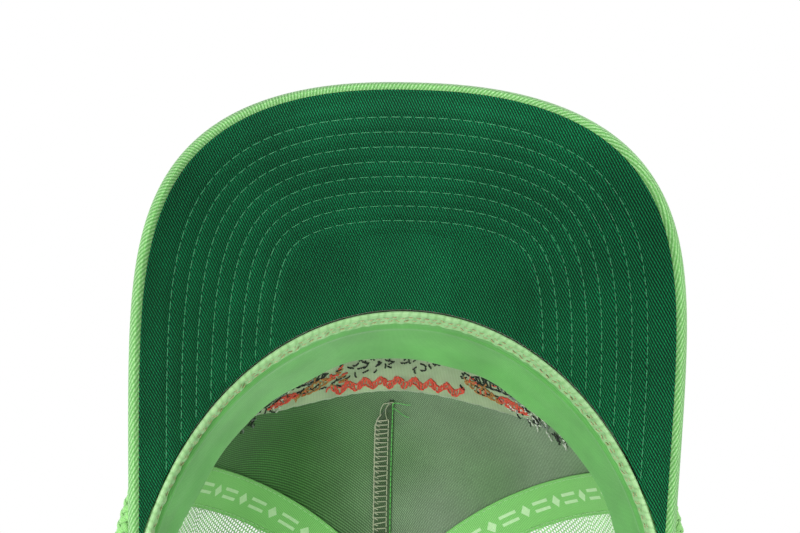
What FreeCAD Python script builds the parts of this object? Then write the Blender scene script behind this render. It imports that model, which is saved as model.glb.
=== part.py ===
"""Trucker cap with a mesh crown, a curved visor, a rope trim and a snap closure.

Design frame: the rim of the crown lies in z = 0, the cap faces -Y and +X is the wearer's left.
Every sub-part is drawn in that frame and then gets one placement that lays the cap on a level
surface, where it rests on the visor's two side edges and on the rim beside the rear opening.
"""
import FreeCAD
import Part
import Sketcher
import math
import os

Vector = FreeCAD.Vector

# ---------------------------------------------------------------- driving dimensions (mm, deg)
DIMENSIONS = [
    ("crown_half_width", 82.4, "half width of the panels' inner face at the rim"),
    ("crown_front_reach", 103.5, "from the crown's axis to the front of the rim"),
    ("crown_back_reach", 100.0, "from the crown's axis to the back of the rim"),
    ("crown_height", 120.0, "rim to the top of the crown"),
    ("profile_front", 2.2, "power of the front meridian"),
    ("profile_side", 2.3, "power of the side meridian"),
    ("profile_back", 2.1, "power of the back meridian"),
    ("front_seam_angle", 61.5, "front seam at the rim, round from the front"),
    ("front_seam_drift", 24.0, "how far the front seam turns forward on its way up"),
    ("side_seam_angle", 122.0, "seam between the side and back mesh"),
    ("seam_gap", 0.15, "half gap between neighbouring panels"),
    ("backing_thickness", 0.5, "buckram behind the front panel"),
    ("panel_thickness", 1.0, "front panel cloth"),
    ("mesh_thickness", 0.9, "mesh panel"),
    ("tape_width", 14.6, "seam tape"),
    ("tape_thickness", 0.6, "seam tape"),
    ("binding_thickness", 0.6, "edge binding"),
    ("binding_height", 9.0, "edge binding on the outside"),
    ("band_height", 31.5, "sweatband"),
    ("band_thickness", 1.2, "sweatband"),
    ("band_inset", 1.1, "sweatband inside the panels at the rim"),
    ("band_inset_back", 3.4, "the same beside the rear opening, where the strap tabs are sewn"),
    ("visor_arch_radius", 132.4, "radius of the visor's underside across the cap"),
    ("visor_pitch", 20.2, "slope of the visor"),
    ("visor_half_width", 78.9, "underside cloth"),
    ("visor_root", -38.0, "where the visor is widest"),
    ("visor_length", 128.1, "from there to the front edge, in plan"),
    ("visor_side_power", 2.25, "how square the visor's outline is across"),
    ("visor_front_power", 5.0, "how square the visor's outline is lengthwise"),
    ("undervisor_thickness", 0.5, "underside cloth"),
    ("board_thickness", 2.2, "visor board"),
    ("cover_thickness", 0.5, "top cover cloth"),
    ("cover_wrap", 1.3, "how far the wrapped edge stands out past the underside cloth"),
    ("layer_gap", 0.1, "between layers of cloth"),
    ("embroidery_base", 33.0, "lower edge of the embroidery above the rim"),
    ("embroidery_height", 50.0, "embroidery"),
    ("embroidery_half_width", 54.0, "embroidery at its lower edge"),
    ("rope_diameter", 6.0, "rope trim"),
    ("rope_end_angle", 83.0, "where the rope ends, round from the front"),
    ("opening_half_width", 42.0, "rear opening at the rim"),
    ("opening_height", 60.0, "rear opening"),
    ("strap_thickness", 1.2, "closure strap"),
    ("strap_width", 18.0, "closure strap"),
    ("strap_bottom", 5.0, "lower edge of the straps above the rim"),
    ("strap_hinge", 33.0, "where a strap bends, out from the middle"),
    ("strap_plane", 89.0, "back from the crown's axis to between the two straps"),
    ("strap_tip", 24.9, "how far the outer strap reaches past the middle"),
    ("inner_strap_tip", 22.0, "how far the inner strap reaches past the middle"),
    ("snap_pitch", 7.5, "between holes, and between pegs"),
    ("snap_offset", 1.5, "of the snap nearest the middle"),
    ("hole_radius", 2.45, "snap hole"),
    ("peg_radius", 1.9, "snap peg"),
    ("peg_length", 2.6, "snap peg above its strap"),
    ("button_radius", 8.0, "top button"),
    ("button_height", 5.2, "top button"),
    ("end_button_radius", 5.5, "rope end button"),
    ("end_button_height", 4.6, "rope end button"),
    ("washer_radius", 7.0, "inner washer"),
    ("washer_thickness", 0.8, "inner washer"),
    ("stem_radius", 1.8, "top button's stem"),
]

doc = FreeCAD.newDocument("TruckerCap")
sheet = doc.addObject("Spreadsheet::Sheet", "Dimensions")
for row, (alias, value, note) in enumerate(DIMENSIONS, start=1):
    sheet.set("A%d" % row, alias)
    sheet.set("B%d" % row, str(value))
    sheet.set("C%d" % row, note)
    sheet.setAlias("B%d" % row, alias)
doc.recompute()


def dim(alias):
    return float(sheet.get(alias))


def bind(obj, **expressions):
    """Bind properties of obj to cells of the sheet, which the text names in square brackets.
    A dot in a property's name is written as two underscores."""
    for name, expression in expressions.items():
        text = expression
        for alias, _, _ in sorted(DIMENSIONS, key=lambda entry: -len(entry[0])):
            text = text.replace("[" + alias + "]", "Dimensions." + alias)
        obj.setExpression(name.replace("__", "."), text)


HALF_WIDTH = dim("crown_half_width")
FRONT = dim("crown_front_reach")
BACK = dim("crown_back_reach")
HEIGHT = dim("crown_height")
ARCH = dim("visor_arch_radius")
SLOPE = math.tan(math.radians(dim("visor_pitch")))
RIM_FRONT = FRONT - dim("band_inset")
RIM_SIDE = HALF_WIDTH - dim("band_inset")
GAP = dim("layer_gap")
PANEL_EDGE = 0.8

# Heights of the visor's layers above its underside, measured along the arch's radius.
UNDER_TOP = dim("undervisor_thickness")
BOARD_BOTTOM = UNDER_TOP + GAP
BOARD_TOP = BOARD_BOTTOM + dim("board_thickness")
COVER_BOTTOM = BOARD_TOP + GAP
COVER_TOP = COVER_BOTTOM + dim("cover_thickness")

# Offsets of the crown's layers out of the reference surface, which is the panels' inner face.
BACKING = (0.1, 0.1 + dim("backing_thickness"))
CLOTH = (BACKING[1] + GAP, BACKING[1] + GAP + dim("panel_thickness"))
MESH = (BACKING[1] + GAP, BACKING[1] + GAP + dim("mesh_thickness"))
INSIDE = -2.5 * GAP
TAPE = (INSIDE - dim("tape_thickness"), INSIDE)
BINDING = (CLOTH[1] + GAP, CLOTH[1] + GAP + dim("binding_thickness"))

SUBPARTS = []


# ---------------------------------------------------------------- surfaces of the crown and visor
def smooth_step(value, low, high):
    t = min(max((value - low) / (high - low), 0.0), 1.0)
    return t * t * (3.0 - 2.0 * t)


def smooth_min(a, b, blend):
    return 0.5 * (a + b - math.sqrt((a - b) ** 2 + blend * blend))


def visor_height(x, y, layer=0.0):
    """Height of the visor's arched, sloping surface, layer mm above the underside."""
    return math.sqrt((ARCH + layer) ** 2 - x * x) - ARCH + SLOPE * (y + RIM_FRONT)


def profile_power(phi):
    forward = math.cos(phi)
    front_share = max(forward, 0.0) ** 2
    back_share = max(-forward, 0.0) ** 2
    side = dim("profile_side")
    return (side + (dim("profile_front") - side) * front_share
            + (dim("profile_back") - side) * back_share)


def crown_point(phi, theta):
    """Point of the reference surface: phi goes round from the front, theta from the rim to the top."""
    power = profile_power(phi)
    reach = (math.cos(theta) ** power + math.sin(theta) ** power) ** (-1.0 / power)
    radius = reach * math.cos(theta)
    depth = FRONT if math.cos(phi) > 0 else BACK
    return Vector(HALF_WIDTH * radius * math.sin(phi),
                  -depth * radius * math.cos(phi),
                  HEIGHT * reach * math.sin(theta))


def crown_normal(phi, theta):
    step = 1e-4
    low = max(theta - step, 0.0)
    around = crown_point(phi + step, theta) - crown_point(phi - step, theta)
    upward = crown_point(phi, theta + step) - crown_point(phi, low)
    return around.cross(upward).normalize()


def shell_point(phi, theta, offset):
    return crown_point(phi, theta) + crown_normal(phi, theta) * offset


def around_radius(phi, theta):
    """Distance on the surface for one radian of phi."""
    step = 1e-3
    return (crown_point(phi + step, theta) - crown_point(phi - step, theta)).Length / (2 * step)


def theta_at_height(phi, height):
    low, high = 0.0, math.radians(89.0)
    for _ in range(50):
        middle = 0.5 * (low + high)
        if crown_point(phi, middle).z < height:
            low = middle
        else:
            high = middle
    return 0.5 * (low + high)


def rim_height(phi):
    """Bottom of the sweatband: on the visor's underside in front, level behind the visor."""
    x = RIM_SIDE * math.sin(phi)
    y = -RIM_FRONT * math.cos(phi)
    fade = 1.0 - smooth_step(abs(phi), math.radians(74.0), math.radians(86.0))
    return visor_height(x, min(y, 0.0)) * fade


def panel_bottom(phi):
    """Bottom of the panels: on the visor's top cover in front, just above the rim elsewhere."""
    seat = crown_point(phi, 0.0)
    fade = 1.0 - smooth_step(abs(phi), math.radians(73.0), math.radians(80.0))
    on_visor = visor_height(seat.x, min(seat.y, 0.0), COVER_TOP) + 2.5 * GAP
    return PANEL_EDGE + (on_visor - PANEL_EDGE) * fade


def front_seam(theta):
    turn = dim("front_seam_angle") - dim("front_seam_drift") * (theta / math.radians(90.0)) ** 2
    return math.radians(turn)


def side_seam(theta):
    return math.radians(dim("side_seam_angle"))


def back_seam(theta):
    return math.pi


TOP_ANGLE = math.radians(87.6)


# ---------------------------------------------------------------- shapes of cloth
def surface(grid):
    """Bicubic surface whose control points are the grid, so that both faces of a cloth share knots."""
    degree = 3
    knots = []
    counts = []
    for size in (len(grid), len(grid[0])):
        spans = size - degree
        knots.append(list(range(spans + 1)))
        counts.append([degree + 1] + [1] * (spans - 1) + [degree + 1])
    patch = Part.BSplineSurface()
    patch.buildFromPolesMultsKnots(grid, counts[0], counts[1], knots[0], knots[1],
                                   False, False, degree, degree)
    return patch


def borders(patch):
    u_low, u_high, v_low, v_high = patch.bounds()
    return [patch.uIso(u_low).toShape(), patch.uIso(u_high).toShape(),
            patch.vIso(v_low).toShape(), patch.vIso(v_high).toShape()]


def cloth(inner_grid, outer_grid):
    """Closed solid between two grids of points."""
    inner = surface(inner_grid)
    outer = surface(outer_grid)
    faces = [inner.toShape(), outer.toShape()]
    for edge_in, edge_out in zip(borders(inner), borders(outer)):
        faces.append(Part.makeRuledSurface(edge_in, edge_out))
    shell = Part.makeShell(faces)
    shell.sewShape()
    solid = Part.makeSolid(shell)
    if solid.Volume < 0:
        solid.reverse()
    return solid


def crown_patch(left, right, bottom, top, offsets, columns=15, rows=17):
    """Cloth on the crown: left(theta) and right(theta) bound it, bottom(phi) and top(phi) are heights
    or, for a top given as None, the small round hole under the button."""
    def grid(offset):
        lines = []
        for i in range(columns):
            across = i / (columns - 1)
            line = []
            phi_rim = left(0.0) + (right(0.0) - left(0.0)) * across
            start = theta_at_height(phi_rim, bottom(phi_rim))
            end = TOP_ANGLE if top is None else theta_at_height(phi_rim, top(phi_rim))
            for j in range(rows):
                theta = start + (end - start) * j / (rows - 1)
                phi = left(theta) + (right(theta) - left(theta)) * across
                line.append(shell_point(phi, theta, offset))
            lines.append(line)
        return lines
    return cloth(grid(offsets[0]), grid(offsets[1]))


def beside(seam, side):
    """The seam line moved half the seam gap to one side (-1 or +1)."""
    def line(theta):
        phi = seam(theta)
        return phi + side * dim("seam_gap") / around_radius(phi, theta)
    return line


def mirrored(seam):
    return lambda theta: -seam(theta)


def seam_strip(seam, low, high, offsets, left_edge, right_edge, sector=60.0):
    """Strip that follows a seam; near the top of the crown it narrows to its share of the circle."""
    share = math.tan(math.radians(sector))
    rows = 25

    def grid(offset):
        lines = [[], [], [], [], []]
        for j in range(rows):
            theta = low + (high - low) * j / (rows - 1)
            phi = seam(theta)
            radius = around_radius(phi, theta)
            for i, line in enumerate(lines):
                reach = left_edge + (right_edge - left_edge) * i / 4.0
                limit = radius * share
                wide = math.copysign(smooth_min(abs(reach), limit, 1.0), reach)
                line.append(shell_point(phi + wide / radius, theta, offset))
        return lines
    return cloth(grid(offsets[0]), grid(offsets[1]))


# ---------------------------------------------------------------- document helpers
def moved(vector):
    return FreeCAD.Placement(vector, FreeCAD.Rotation())


def feature(name, shape):
    obj = doc.addObject("Part::Feature", name)
    obj.Shape = shape
    return obj


def subpart(obj, label):
    obj.Label = label
    SUBPARTS.append(obj)
    return obj


def boolean(kind, name, base, tool):
    obj = doc.addObject("Part::" + kind, name)
    obj.Base = base
    obj.Tool = tool
    return obj


def origin_plane(body, role):
    for plane in body.Origin.OriginFeatures:
        if plane.Role == role:
            return plane
    raise ValueError(role)


def new_body(name):
    return doc.addObject("PartDesign::Body", name)


def new_sketch(body, name, role):
    sketch = body.newObject("Sketcher::SketchObject", name)
    sketch.AttachmentSupport = [(origin_plane(body, role), "")]
    sketch.MapMode = "FlatFace"
    return sketch


def pinned(sketch, index, point, x_text, y_text):
    """Fix one point of a sketch at a place given by two expressions."""
    x_name = "x_%d_%d" % (index, point)
    y_name = "y_%d_%d" % (index, point)
    at = sketch.getPoint(index, point)
    across = ("DistanceX", x_name, at.x, x_text)
    upward = ("DistanceY", y_name, at.y, y_text)
    for kind, name, value, text in (across, upward):
        number = sketch.addConstraint(Sketcher.Constraint(kind, -1, 1, index, point, value))
        sketch.renameConstraint(number, name)
        bind(sketch, **{"Constraints__" + name: text})


# ---------------------------------------------------------------- visor
def outline_point(share, extra):
    """Point of the visor's plan outline, share of the way round from its right root to its left root."""
    turn = math.pi * (share - 0.5)
    across = math.copysign(abs(math.sin(turn)) ** (2.0 / dim("visor_side_power")), turn)
    steps = max(math.cos(turn), 0.0) if 0.0 < share < 1.0 else 0.0
    forward = steps ** (2.0 / dim("visor_front_power"))
    return Vector((dim("visor_half_width") + extra) * across,
                  dim("visor_root") - (dim("visor_length") + extra) * forward, 0)


def visor_outline(extra):
    """Plan outline of the visor, closed across the cap behind the visor's root."""
    half = dim("visor_half_width") + extra
    root = dim("visor_root")
    count = 48
    points = [outline_point(i / count, extra) for i in range(count + 1)]
    edge = Part.BSplineCurve()
    edge.interpolate(points)
    back = root + 30.0
    sides = Part.makePolygon([points[-1], Vector(half, back, 0), Vector(-half, back, 0), points[0]])
    return Part.Wire([edge.toShape()] + sides.Edges)


def visor_prism(name, extra):
    prism = Part.Face(visor_outline(extra)).extrude(Vector(0, 0, 120))
    prism.translate(Vector(0, 0, -90))
    return feature(name, prism)


def arch_band(name, low, high):
    """The space between two heights above the visor's underside, swept along the visor's slope."""
    reach = 100.0
    arcs = []
    for layer in (low, high):
        radius = ARCH + layer
        lift = math.sqrt(radius * radius - reach * reach)
        sides = [Vector(side * reach, 0, lift - ARCH) for side in (-1, 1)]
        arcs.append(Part.Arc(sides[0], Vector(0, 0, layer), sides[1]))
    ends = []
    for place in ("StartPoint", "EndPoint"):
        ends.append(Part.makeLine(getattr(arcs[0], place), getattr(arcs[1], place)))
    wire = Part.Wire(Part.__sortEdges__([arcs[0].toShape(), ends[0], arcs[1].toShape(), ends[1]]))
    run = 220.0
    band = Part.Face(wire).extrude(Vector(0, -run, -run * SLOPE))
    ahead = 40.0
    band.translate(Vector(0, ahead - RIM_FRONT + 60.0, (ahead + 60.0) * SLOPE))
    return feature(name, band)


def rim_core(name, inset):
    """Upright elliptic column inside the sweatband's outer face, which the visor is cut around."""
    column = doc.addObject("Part::Feature", name)
    ellipse = Part.Ellipse(Vector(0, 0, 0), RIM_FRONT + inset, RIM_SIDE + inset)
    ellipse.rotate(FreeCAD.Placement(Vector(), FreeCAD.Rotation(Vector(0, 0, 1), 90)))
    column.Shape = Part.Face(Part.Wire(ellipse.toShape())).extrude(Vector(0, 0, 160))
    column.Placement = FreeCAD.Placement(Vector(0, 0, -80), FreeCAD.Rotation())
    return column


def make_visor():
    core = rim_core("rim_core", 0.2)
    behind = doc.addObject("Part::Box", "behind_visor")
    behind.Length = 300
    behind.Width = 200
    behind.Height = 300
    behind.Placement.Base = Vector(-150, -31.0, -150)
    tool = doc.addObject("Part::MultiFuse", "visor_clearance")
    tool.Shapes = [core, behind]

    def layer(name, low, high, extra):
        band = arch_band(name + "_band", low, high)
        prism = visor_prism(name + "_plan", extra)
        return boolean("Common", name + "_blank", band, prism)

    wrap = dim("cover_wrap")
    lip = dim("cover_thickness")
    under = boolean("Cut", "undervisor_cover", layer("under", 0.0, UNDER_TOP, -GAP), tool)
    subpart(under, "undervisor_cover")
    board_extra = wrap - lip - GAP
    board = boolean("Cut", "visor_board", layer("board", BOARD_BOTTOM, BOARD_TOP, board_extra), tool)
    subpart(board, "visor_board")

    outside = layer("cover_outside", BOARD_BOTTOM - GAP - lip, COVER_TOP, wrap)
    inside = layer("cover_inside", BOARD_BOTTOM - GAP, COVER_BOTTOM, wrap - lip)
    window = layer("cover_window", -20.0, BOARD_BOTTOM - GAP, 0.0)
    hollow = doc.addObject("Part::MultiFuse", "cover_hollow")
    hollow.Shapes = [inside, window, tool]
    subpart(boolean("Cut", "visor_top_cover", outside, hollow), "visor_top_cover")


# ---------------------------------------------------------------- crown
def opening_prism(name, extra):
    """Elliptic arch through the back of the crown."""
    half = dim("opening_half_width") + extra
    tall = dim("opening_height") + extra
    ellipse = Part.Ellipse(Vector(0, 0, 0), tall, half)
    upright = FreeCAD.Rotation(Vector(1, 0, 0), 90).multiply(FreeCAD.Rotation(Vector(0, 0, 1), 90))
    ellipse.rotate(FreeCAD.Placement(Vector(), upright))
    prism = Part.Face(Part.Wire(ellipse.toShape())).extrude(Vector(0, 140, 0))
    return feature(name, prism)


def lining_bottom(phi):
    return panel_bottom(phi) + 4 * GAP


def make_panels():
    cloth_left = beside(mirrored(front_seam), 1)
    cloth_right = beside(front_seam, -1)
    front = crown_patch(cloth_left, cloth_right, panel_bottom, None, CLOTH, columns=25)
    subpart(feature("front_panel", front), "front_panel")
    lining = crown_patch(cloth_left, cloth_right, lining_bottom, None, BACKING, columns=25)
    subpart(feature("front_panel_backing", lining), "front_panel_backing")

    side = crown_patch(beside(front_seam, 1), beside(side_seam, -1), panel_bottom, None, MESH)
    subpart(feature("side_mesh_panel_left", side), "side_mesh_panel_left")
    subpart(feature("side_mesh_panel_right", across_cap(side)), "side_mesh_panel_right")

    back = crown_patch(beside(side_seam, 1), beside(back_seam, -1), panel_bottom, None, MESH)
    arch = opening_prism("opening_in_mesh", dim("binding_height") / 3.0)
    for hand, shape in (("left", back), ("right", across_cap(back))):
        blank = feature("back_mesh_blank_" + hand, shape)
        subpart(boolean("Cut", "back_mesh_panel_" + hand, blank, arch), "back_mesh_panel_" + hand)


def across_cap(shape):
    """The mirror image of a shape, on the other side of the cap."""
    return shape.mirror(Vector(0, 0, 0), Vector(1, 0, 0))


def make_tapes():
    half = dim("tape_width") / 2.0
    start = theta_at_height(math.radians(60), 6.0)
    front = seam_strip(front_seam, start, TOP_ANGLE, TAPE, -half, half, 34.0)
    subpart(feature("front_seam_tape_left", front), "front_seam_tape_left")
    subpart(feature("front_seam_tape_right", across_cap(front)), "front_seam_tape_right")
    side = seam_strip(side_seam, start, TOP_ANGLE, TAPE, -half, half, 27.0)
    subpart(feature("side_seam_tape_left", side), "side_seam_tape_left")
    subpart(feature("side_seam_tape_right", across_cap(side)), "side_seam_tape_right")
    over_arch = theta_at_height(math.pi, dim("opening_height") + 4.0)
    back = seam_strip(back_seam, over_arch, TOP_ANGLE, TAPE, -half, half, 27.0)
    subpart(feature("center_back_seam_tape", back), "center_back_seam_tape")


def make_front_details():
    dart_shift = math.radians(-1.2)
    low = theta_at_height(0.0, dim("embroidery_base") + dim("embroidery_height") + 1.0)
    dart = seam_strip(lambda theta: dart_shift, low, math.radians(79.0), (-1.0, -0.25), -3.4, 0.5)
    subpart(feature("front_dart_seam", dart), "front_dart_seam")

    def dome(name, half, tall, base_height):
        ellipse = Part.Ellipse(Vector(0, 0, 0), half, tall)
        face = Part.Face(Part.Wire(ellipse.toShape()))
        face.rotate(Vector(0, 0, 0), Vector(1, 0, 0), 90)
        face.translate(Vector(0, 0, base_height))
        return feature(name, face.extrude(Vector(0, -140, 0)))

    def region(name, offsets, half, tall, low_edge, middle):
        reach = math.radians(52.0)
        patch = crown_patch(lambda theta: -reach, lambda theta: reach,
                            lambda phi: low_edge, lambda phi: low_edge + 66.0, offsets)
        blank = feature(name + "_patch", patch)
        return boolean("Common", name, blank, dome(name + "_dome", half, tall, middle))

    half = dim("embroidery_half_width")
    tall = dim("embroidery_height")
    base = dim("embroidery_base")
    margin = 4.0
    under = region("embroidery_backing", (-0.8, -0.2), half, tall, base - 2.0 * margin, base)
    subpart(under, "embroidery_backing")
    outer = (CLOTH[1] + GAP, CLOTH[1] + GAP + 0.9)
    subpart(region("embroidery_motif", outer, half - margin, tall - margin, base, base), "embroidery_motif")


def band_point(phi, height, offset):
    """Point on the sweatband's outer face, offset mm further in, height mm above its lower edge."""
    across = HALF_WIDTH * math.sin(phi)
    depth = (FRONT if math.cos(phi) > 0 else BACK) * math.cos(phi)
    normal = Vector(math.sin(phi) / HALF_WIDTH, -math.cos(phi) / FRONT, 0).normalize()
    back_share = smooth_step(abs(phi), math.radians(92.0), math.radians(125.0))
    inset = dim("band_inset") + (dim("band_inset_back") - dim("band_inset")) * back_share
    lean = 5.5 + 6.0 * max(math.cos(phi), 0.0) ** 2 - 2.5 * back_share
    inward = inset + lean * height / dim("band_height") + offset
    return Vector(across, -depth, rim_height(phi) + height) - normal * inward


def band_strip(end_angle, low, high, near, far, columns=61):
    rows = 5

    def grid(offset):
        lines = []
        for i in range(columns):
            phi = math.radians(end_angle) * (2.0 * i / (columns - 1) - 1.0)
            line = []
            for j in range(rows):
                line.append(band_point(phi, low + (high - low) * j / (rows - 1), offset))
            lines.append(line)
        return lines
    return cloth(grid(near), grid(far))


def make_band():
    band = band_strip(147.0, 0.0, dim("band_height"), 0.0, dim("band_thickness"))
    subpart(feature("sweatband", band), "sweatband")
    foam = band_strip(118.0, 8.0, dim("band_height") - 4.0, -0.95, -0.2)
    subpart(feature("sweatband_foam", foam), "sweatband_foam")


def make_bindings():
    """Cloth binding round the bottom of the mesh and round the rear opening."""
    start = math.radians(81.0)
    end = math.radians(141.5)
    tall = dim("binding_height")
    inside = BINDING[0] + dim("binding_thickness") / 2.0
    trim = 0.003
    outer = crown_patch(lambda theta: start, lambda theta: end,
                        lambda phi: 0.2, lambda phi: tall, BINDING, columns=21, rows=5)
    fold = crown_patch(lambda theta: start + trim, lambda theta: end - trim,
                       lambda phi: 0.0, lambda phi: 0.6, (-0.2, inside), columns=21, rows=4)
    for hand in ("left", "right"):
        parts = []
        for tag, shape in (("face", outer), ("fold", fold)):
            placed = shape if hand == "left" else across_cap(shape)
            parts.append(feature("rim_binding_%s_%s" % (tag, hand), placed))
        joined = doc.addObject("Part::MultiFuse", "rim_binding_" + hand)
        joined.Shapes = parts
        subpart(joined, "rim_binding_" + hand)

    wide = math.radians(38.0)
    top = dim("opening_height") + tall + 10.0

    def wall(name, low, offsets, reach):
        patch = crown_patch(lambda theta: math.pi - wide, lambda theta: math.pi + wide,
                            lambda phi: low, lambda phi: top, offsets, columns=25)
        blank = feature(name + "_wall", patch)
        return boolean("Common", name, blank, opening_prism(name + "_limit", reach))

    inner = opening_prism("opening_edge", 0.0)
    flange = wall("opening_flange", 0.0, BINDING, tall)
    fold = wall("opening_fold", 0.3, (-0.2, inside), tall / 3.0 - GAP)
    joined = doc.addObject("Part::MultiFuse", "opening_cloth")
    joined.Shapes = [flange, fold]
    subpart(boolean("Cut", "rear_opening_binding", joined, inner), "rear_opening_binding")


# ---------------------------------------------------------------- rope
def rope_route():
    """Corners of the rope's route along the foot of the crown, from one end button to the other."""
    radius = dim("rope_diameter") / 2.0
    runs = 14
    end = math.radians(dim("rope_end_angle"))
    corners = []
    for i in range(runs + 1):
        phi = end * (2.0 * i / runs - 1.0)
        clearance = 1.0 - 0.5 * smooth_step(abs(phi), 0.8 * end, end)
        foot = crown_point(phi, 0.0) + crown_normal(phi, 0.0) * (CLOTH[1] + clearance + radius)
        tilt = foot.x / math.sqrt((ARCH + COVER_TOP) ** 2 - foot.x ** 2)
        steep = math.sqrt(1.0 + tilt * tilt + SLOPE * SLOPE)
        on_visor = visor_height(foot.x, foot.y, COVER_TOP) + (radius + 0.5) * steep
        past_visor = smooth_step(abs(phi), math.radians(62.0), end)
        lift = 12.0
        corners.append(Vector(foot.x, foot.y, on_visor * (1.0 - past_visor) + lift * past_visor))
    return corners


def rounded_path(corners):
    """Straight runs joined by tangent arcs as large as the runs allow."""
    edges = []
    radii = []
    start = corners[0]
    for before, corner, after in zip(corners, corners[1:], corners[2:]):
        back = (before - corner)
        ahead = (after - corner)
        shorter = min(back.Length, ahead.Length)
        turn = math.pi - back.getAngle(ahead)
        reach = 0.45 * shorter
        radius = reach / math.tan(turn / 2.0)
        radii.append(radius)
        back.normalize()
        ahead.normalize()
        enter = corner + back * reach
        leave = corner + ahead * reach
        inward = (back + ahead).normalize()
        middle = corner + inward * (radius / math.cos(turn / 2.0) - radius)
        edges.append(Part.LineSegment(start, enter).toShape())
        edges.append(Part.Arc(enter, middle, leave).toShape())
        start = leave
    edges.append(Part.LineSegment(start, corners[-1]).toShape())
    return Part.Wire(edges), radii


def make_rope():
    corners = rope_route()
    path, radii = rounded_path(corners)
    radius = dim("rope_diameter") / 2.0
    circle = Part.Wire(Part.makeCircle(radius, corners[0], corners[1] - corners[0]))
    tube = path.makePipeShell([circle], True, False)
    expected = math.pi * radius * radius * path.Length
    print("rope length %.1f, volume %.0f of %.0f, radii %s"
          % (path.Length, tube.Volume, expected, [round(r) for r in radii]))
    subpart(feature("rope", tube), "rope")


def make_button(name, radius_alias, height_alias):
    """Low dome with a flat back: an upright disc trimmed by a ball."""
    disc = doc.addObject("Part::Cylinder", name + "_disc")
    bind(disc, Radius="[%s]" % radius_alias, Height="[%s]" % height_alias)
    ball = doc.addObject("Part::Sphere", name + "_ball")
    rise = "([%s] * 0.75)" % height_alias
    round_text = "([%s] ^ 2 + %s ^ 2) / (2 * %s)" % (radius_alias, rise, rise)
    bind(ball, Radius=round_text, Placement__Base__z="[%s] - (%s)" % (height_alias, round_text))
    return boolean("Common", name, disc, ball)


def make_buttons():
    """Buttons on the crown's top and at the rope's ends; each keeps its own seat before the final rest."""
    seats = []
    top = make_button("top_button", "button_radius", "button_height")
    seat = Vector(0, 0, crown_point(0.0, TOP_ANGLE).z + CLOTH[1] + 0.4)
    seats.append((subpart(top, "top_button"), moved(seat)))

    stem = doc.addObject("Part::Cylinder", "button_stem")
    stem_foot = crown_point(0.0, TOP_ANGLE).z - 3.2
    bind(stem, Radius="[stem_radius]")
    stem.Height = seat.z - stem_foot
    seats.append((subpart(stem, "button_stem"), moved(Vector(0, 0, stem_foot))))

    disc = doc.addObject("Part::Cylinder", "washer_disc")
    bind(disc, Radius="[washer_radius]")
    bind(disc, Height="[washer_thickness]")
    hole = doc.addObject("Part::Cylinder", "washer_hole")
    bind(hole, Radius="[stem_radius] + [layer_gap] / 2", Height="[washer_thickness]")
    washer = boolean("Cut", "button_washer", disc, hole)
    seats.append((subpart(washer, "button_washer"), moved(Vector(0, 0, stem_foot + 2 * GAP))))

    corners = rope_route()
    for hand, end, inside in (("left", corners[-1], corners[-2]), ("right", corners[0], corners[1])):
        name = "rope_end_button_" + hand
        button = make_button(name, "end_button_radius", "end_button_height")
        ahead = (end - inside).normalize()
        place = end + ahead * (dim("end_button_radius") + 5 * GAP)
        phi = math.atan2(place.x / HALF_WIDTH, -place.y / BACK)
        theta = theta_at_height(phi, place.z)
        normal = crown_normal(phi, theta)
        seat = shell_point(phi, theta, BINDING[1] + 0.35)
        turn = FreeCAD.Rotation(Vector(0, 0, 1), normal)
        seats.append((subpart(button, name), FreeCAD.Placement(seat, turn)))
    return seats


# ---------------------------------------------------------------- snap closure
def rounded_strap(body, name, root_x, tip_x, corner):
    """Flat strap in the XZ plane from a square root to a tip with rounded corners, as one pad."""
    sketch = new_sketch(body, name + "_outline", "XZ_Plane")
    low = dim("strap_bottom")
    high = low + dim("strap_width")
    way = 1.0 if tip_x > root_x else -1.0
    bend = tip_x - way * corner
    points = [Vector(root_x, low, 0), Vector(bend, low, 0), Vector(tip_x, low + corner, 0),
              Vector(tip_x, high - corner, 0), Vector(bend, high, 0), Vector(root_x, high, 0)]
    slant = corner * (1.0 - math.sqrt(0.5))
    sketch.addGeometry(Part.LineSegment(points[0], points[1]))
    sketch.addGeometry(Part.Arc(points[1], Vector(tip_x - way * slant, low + slant, 0), points[2]))
    sketch.addGeometry(Part.LineSegment(points[2], points[3]))
    sketch.addGeometry(Part.Arc(points[3], Vector(tip_x - way * slant, high - slant, 0), points[4]))
    sketch.addGeometry(Part.LineSegment(points[4], points[5]))
    sketch.addGeometry(Part.LineSegment(points[5], points[0]))
    sketch.addConstraint(Sketcher.Constraint("DistanceY", -1, 1, 0, 1, low))
    bind(sketch, **{"Constraints[0]": "[strap_bottom]"})
    pad = body.newObject("PartDesign::Pad", name + "_pad")
    pad.Profile = sketch
    bind(pad, Length="[strap_thickness]")
    pad.Midplane = True
    body.Tip = pad
    return pad


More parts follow.
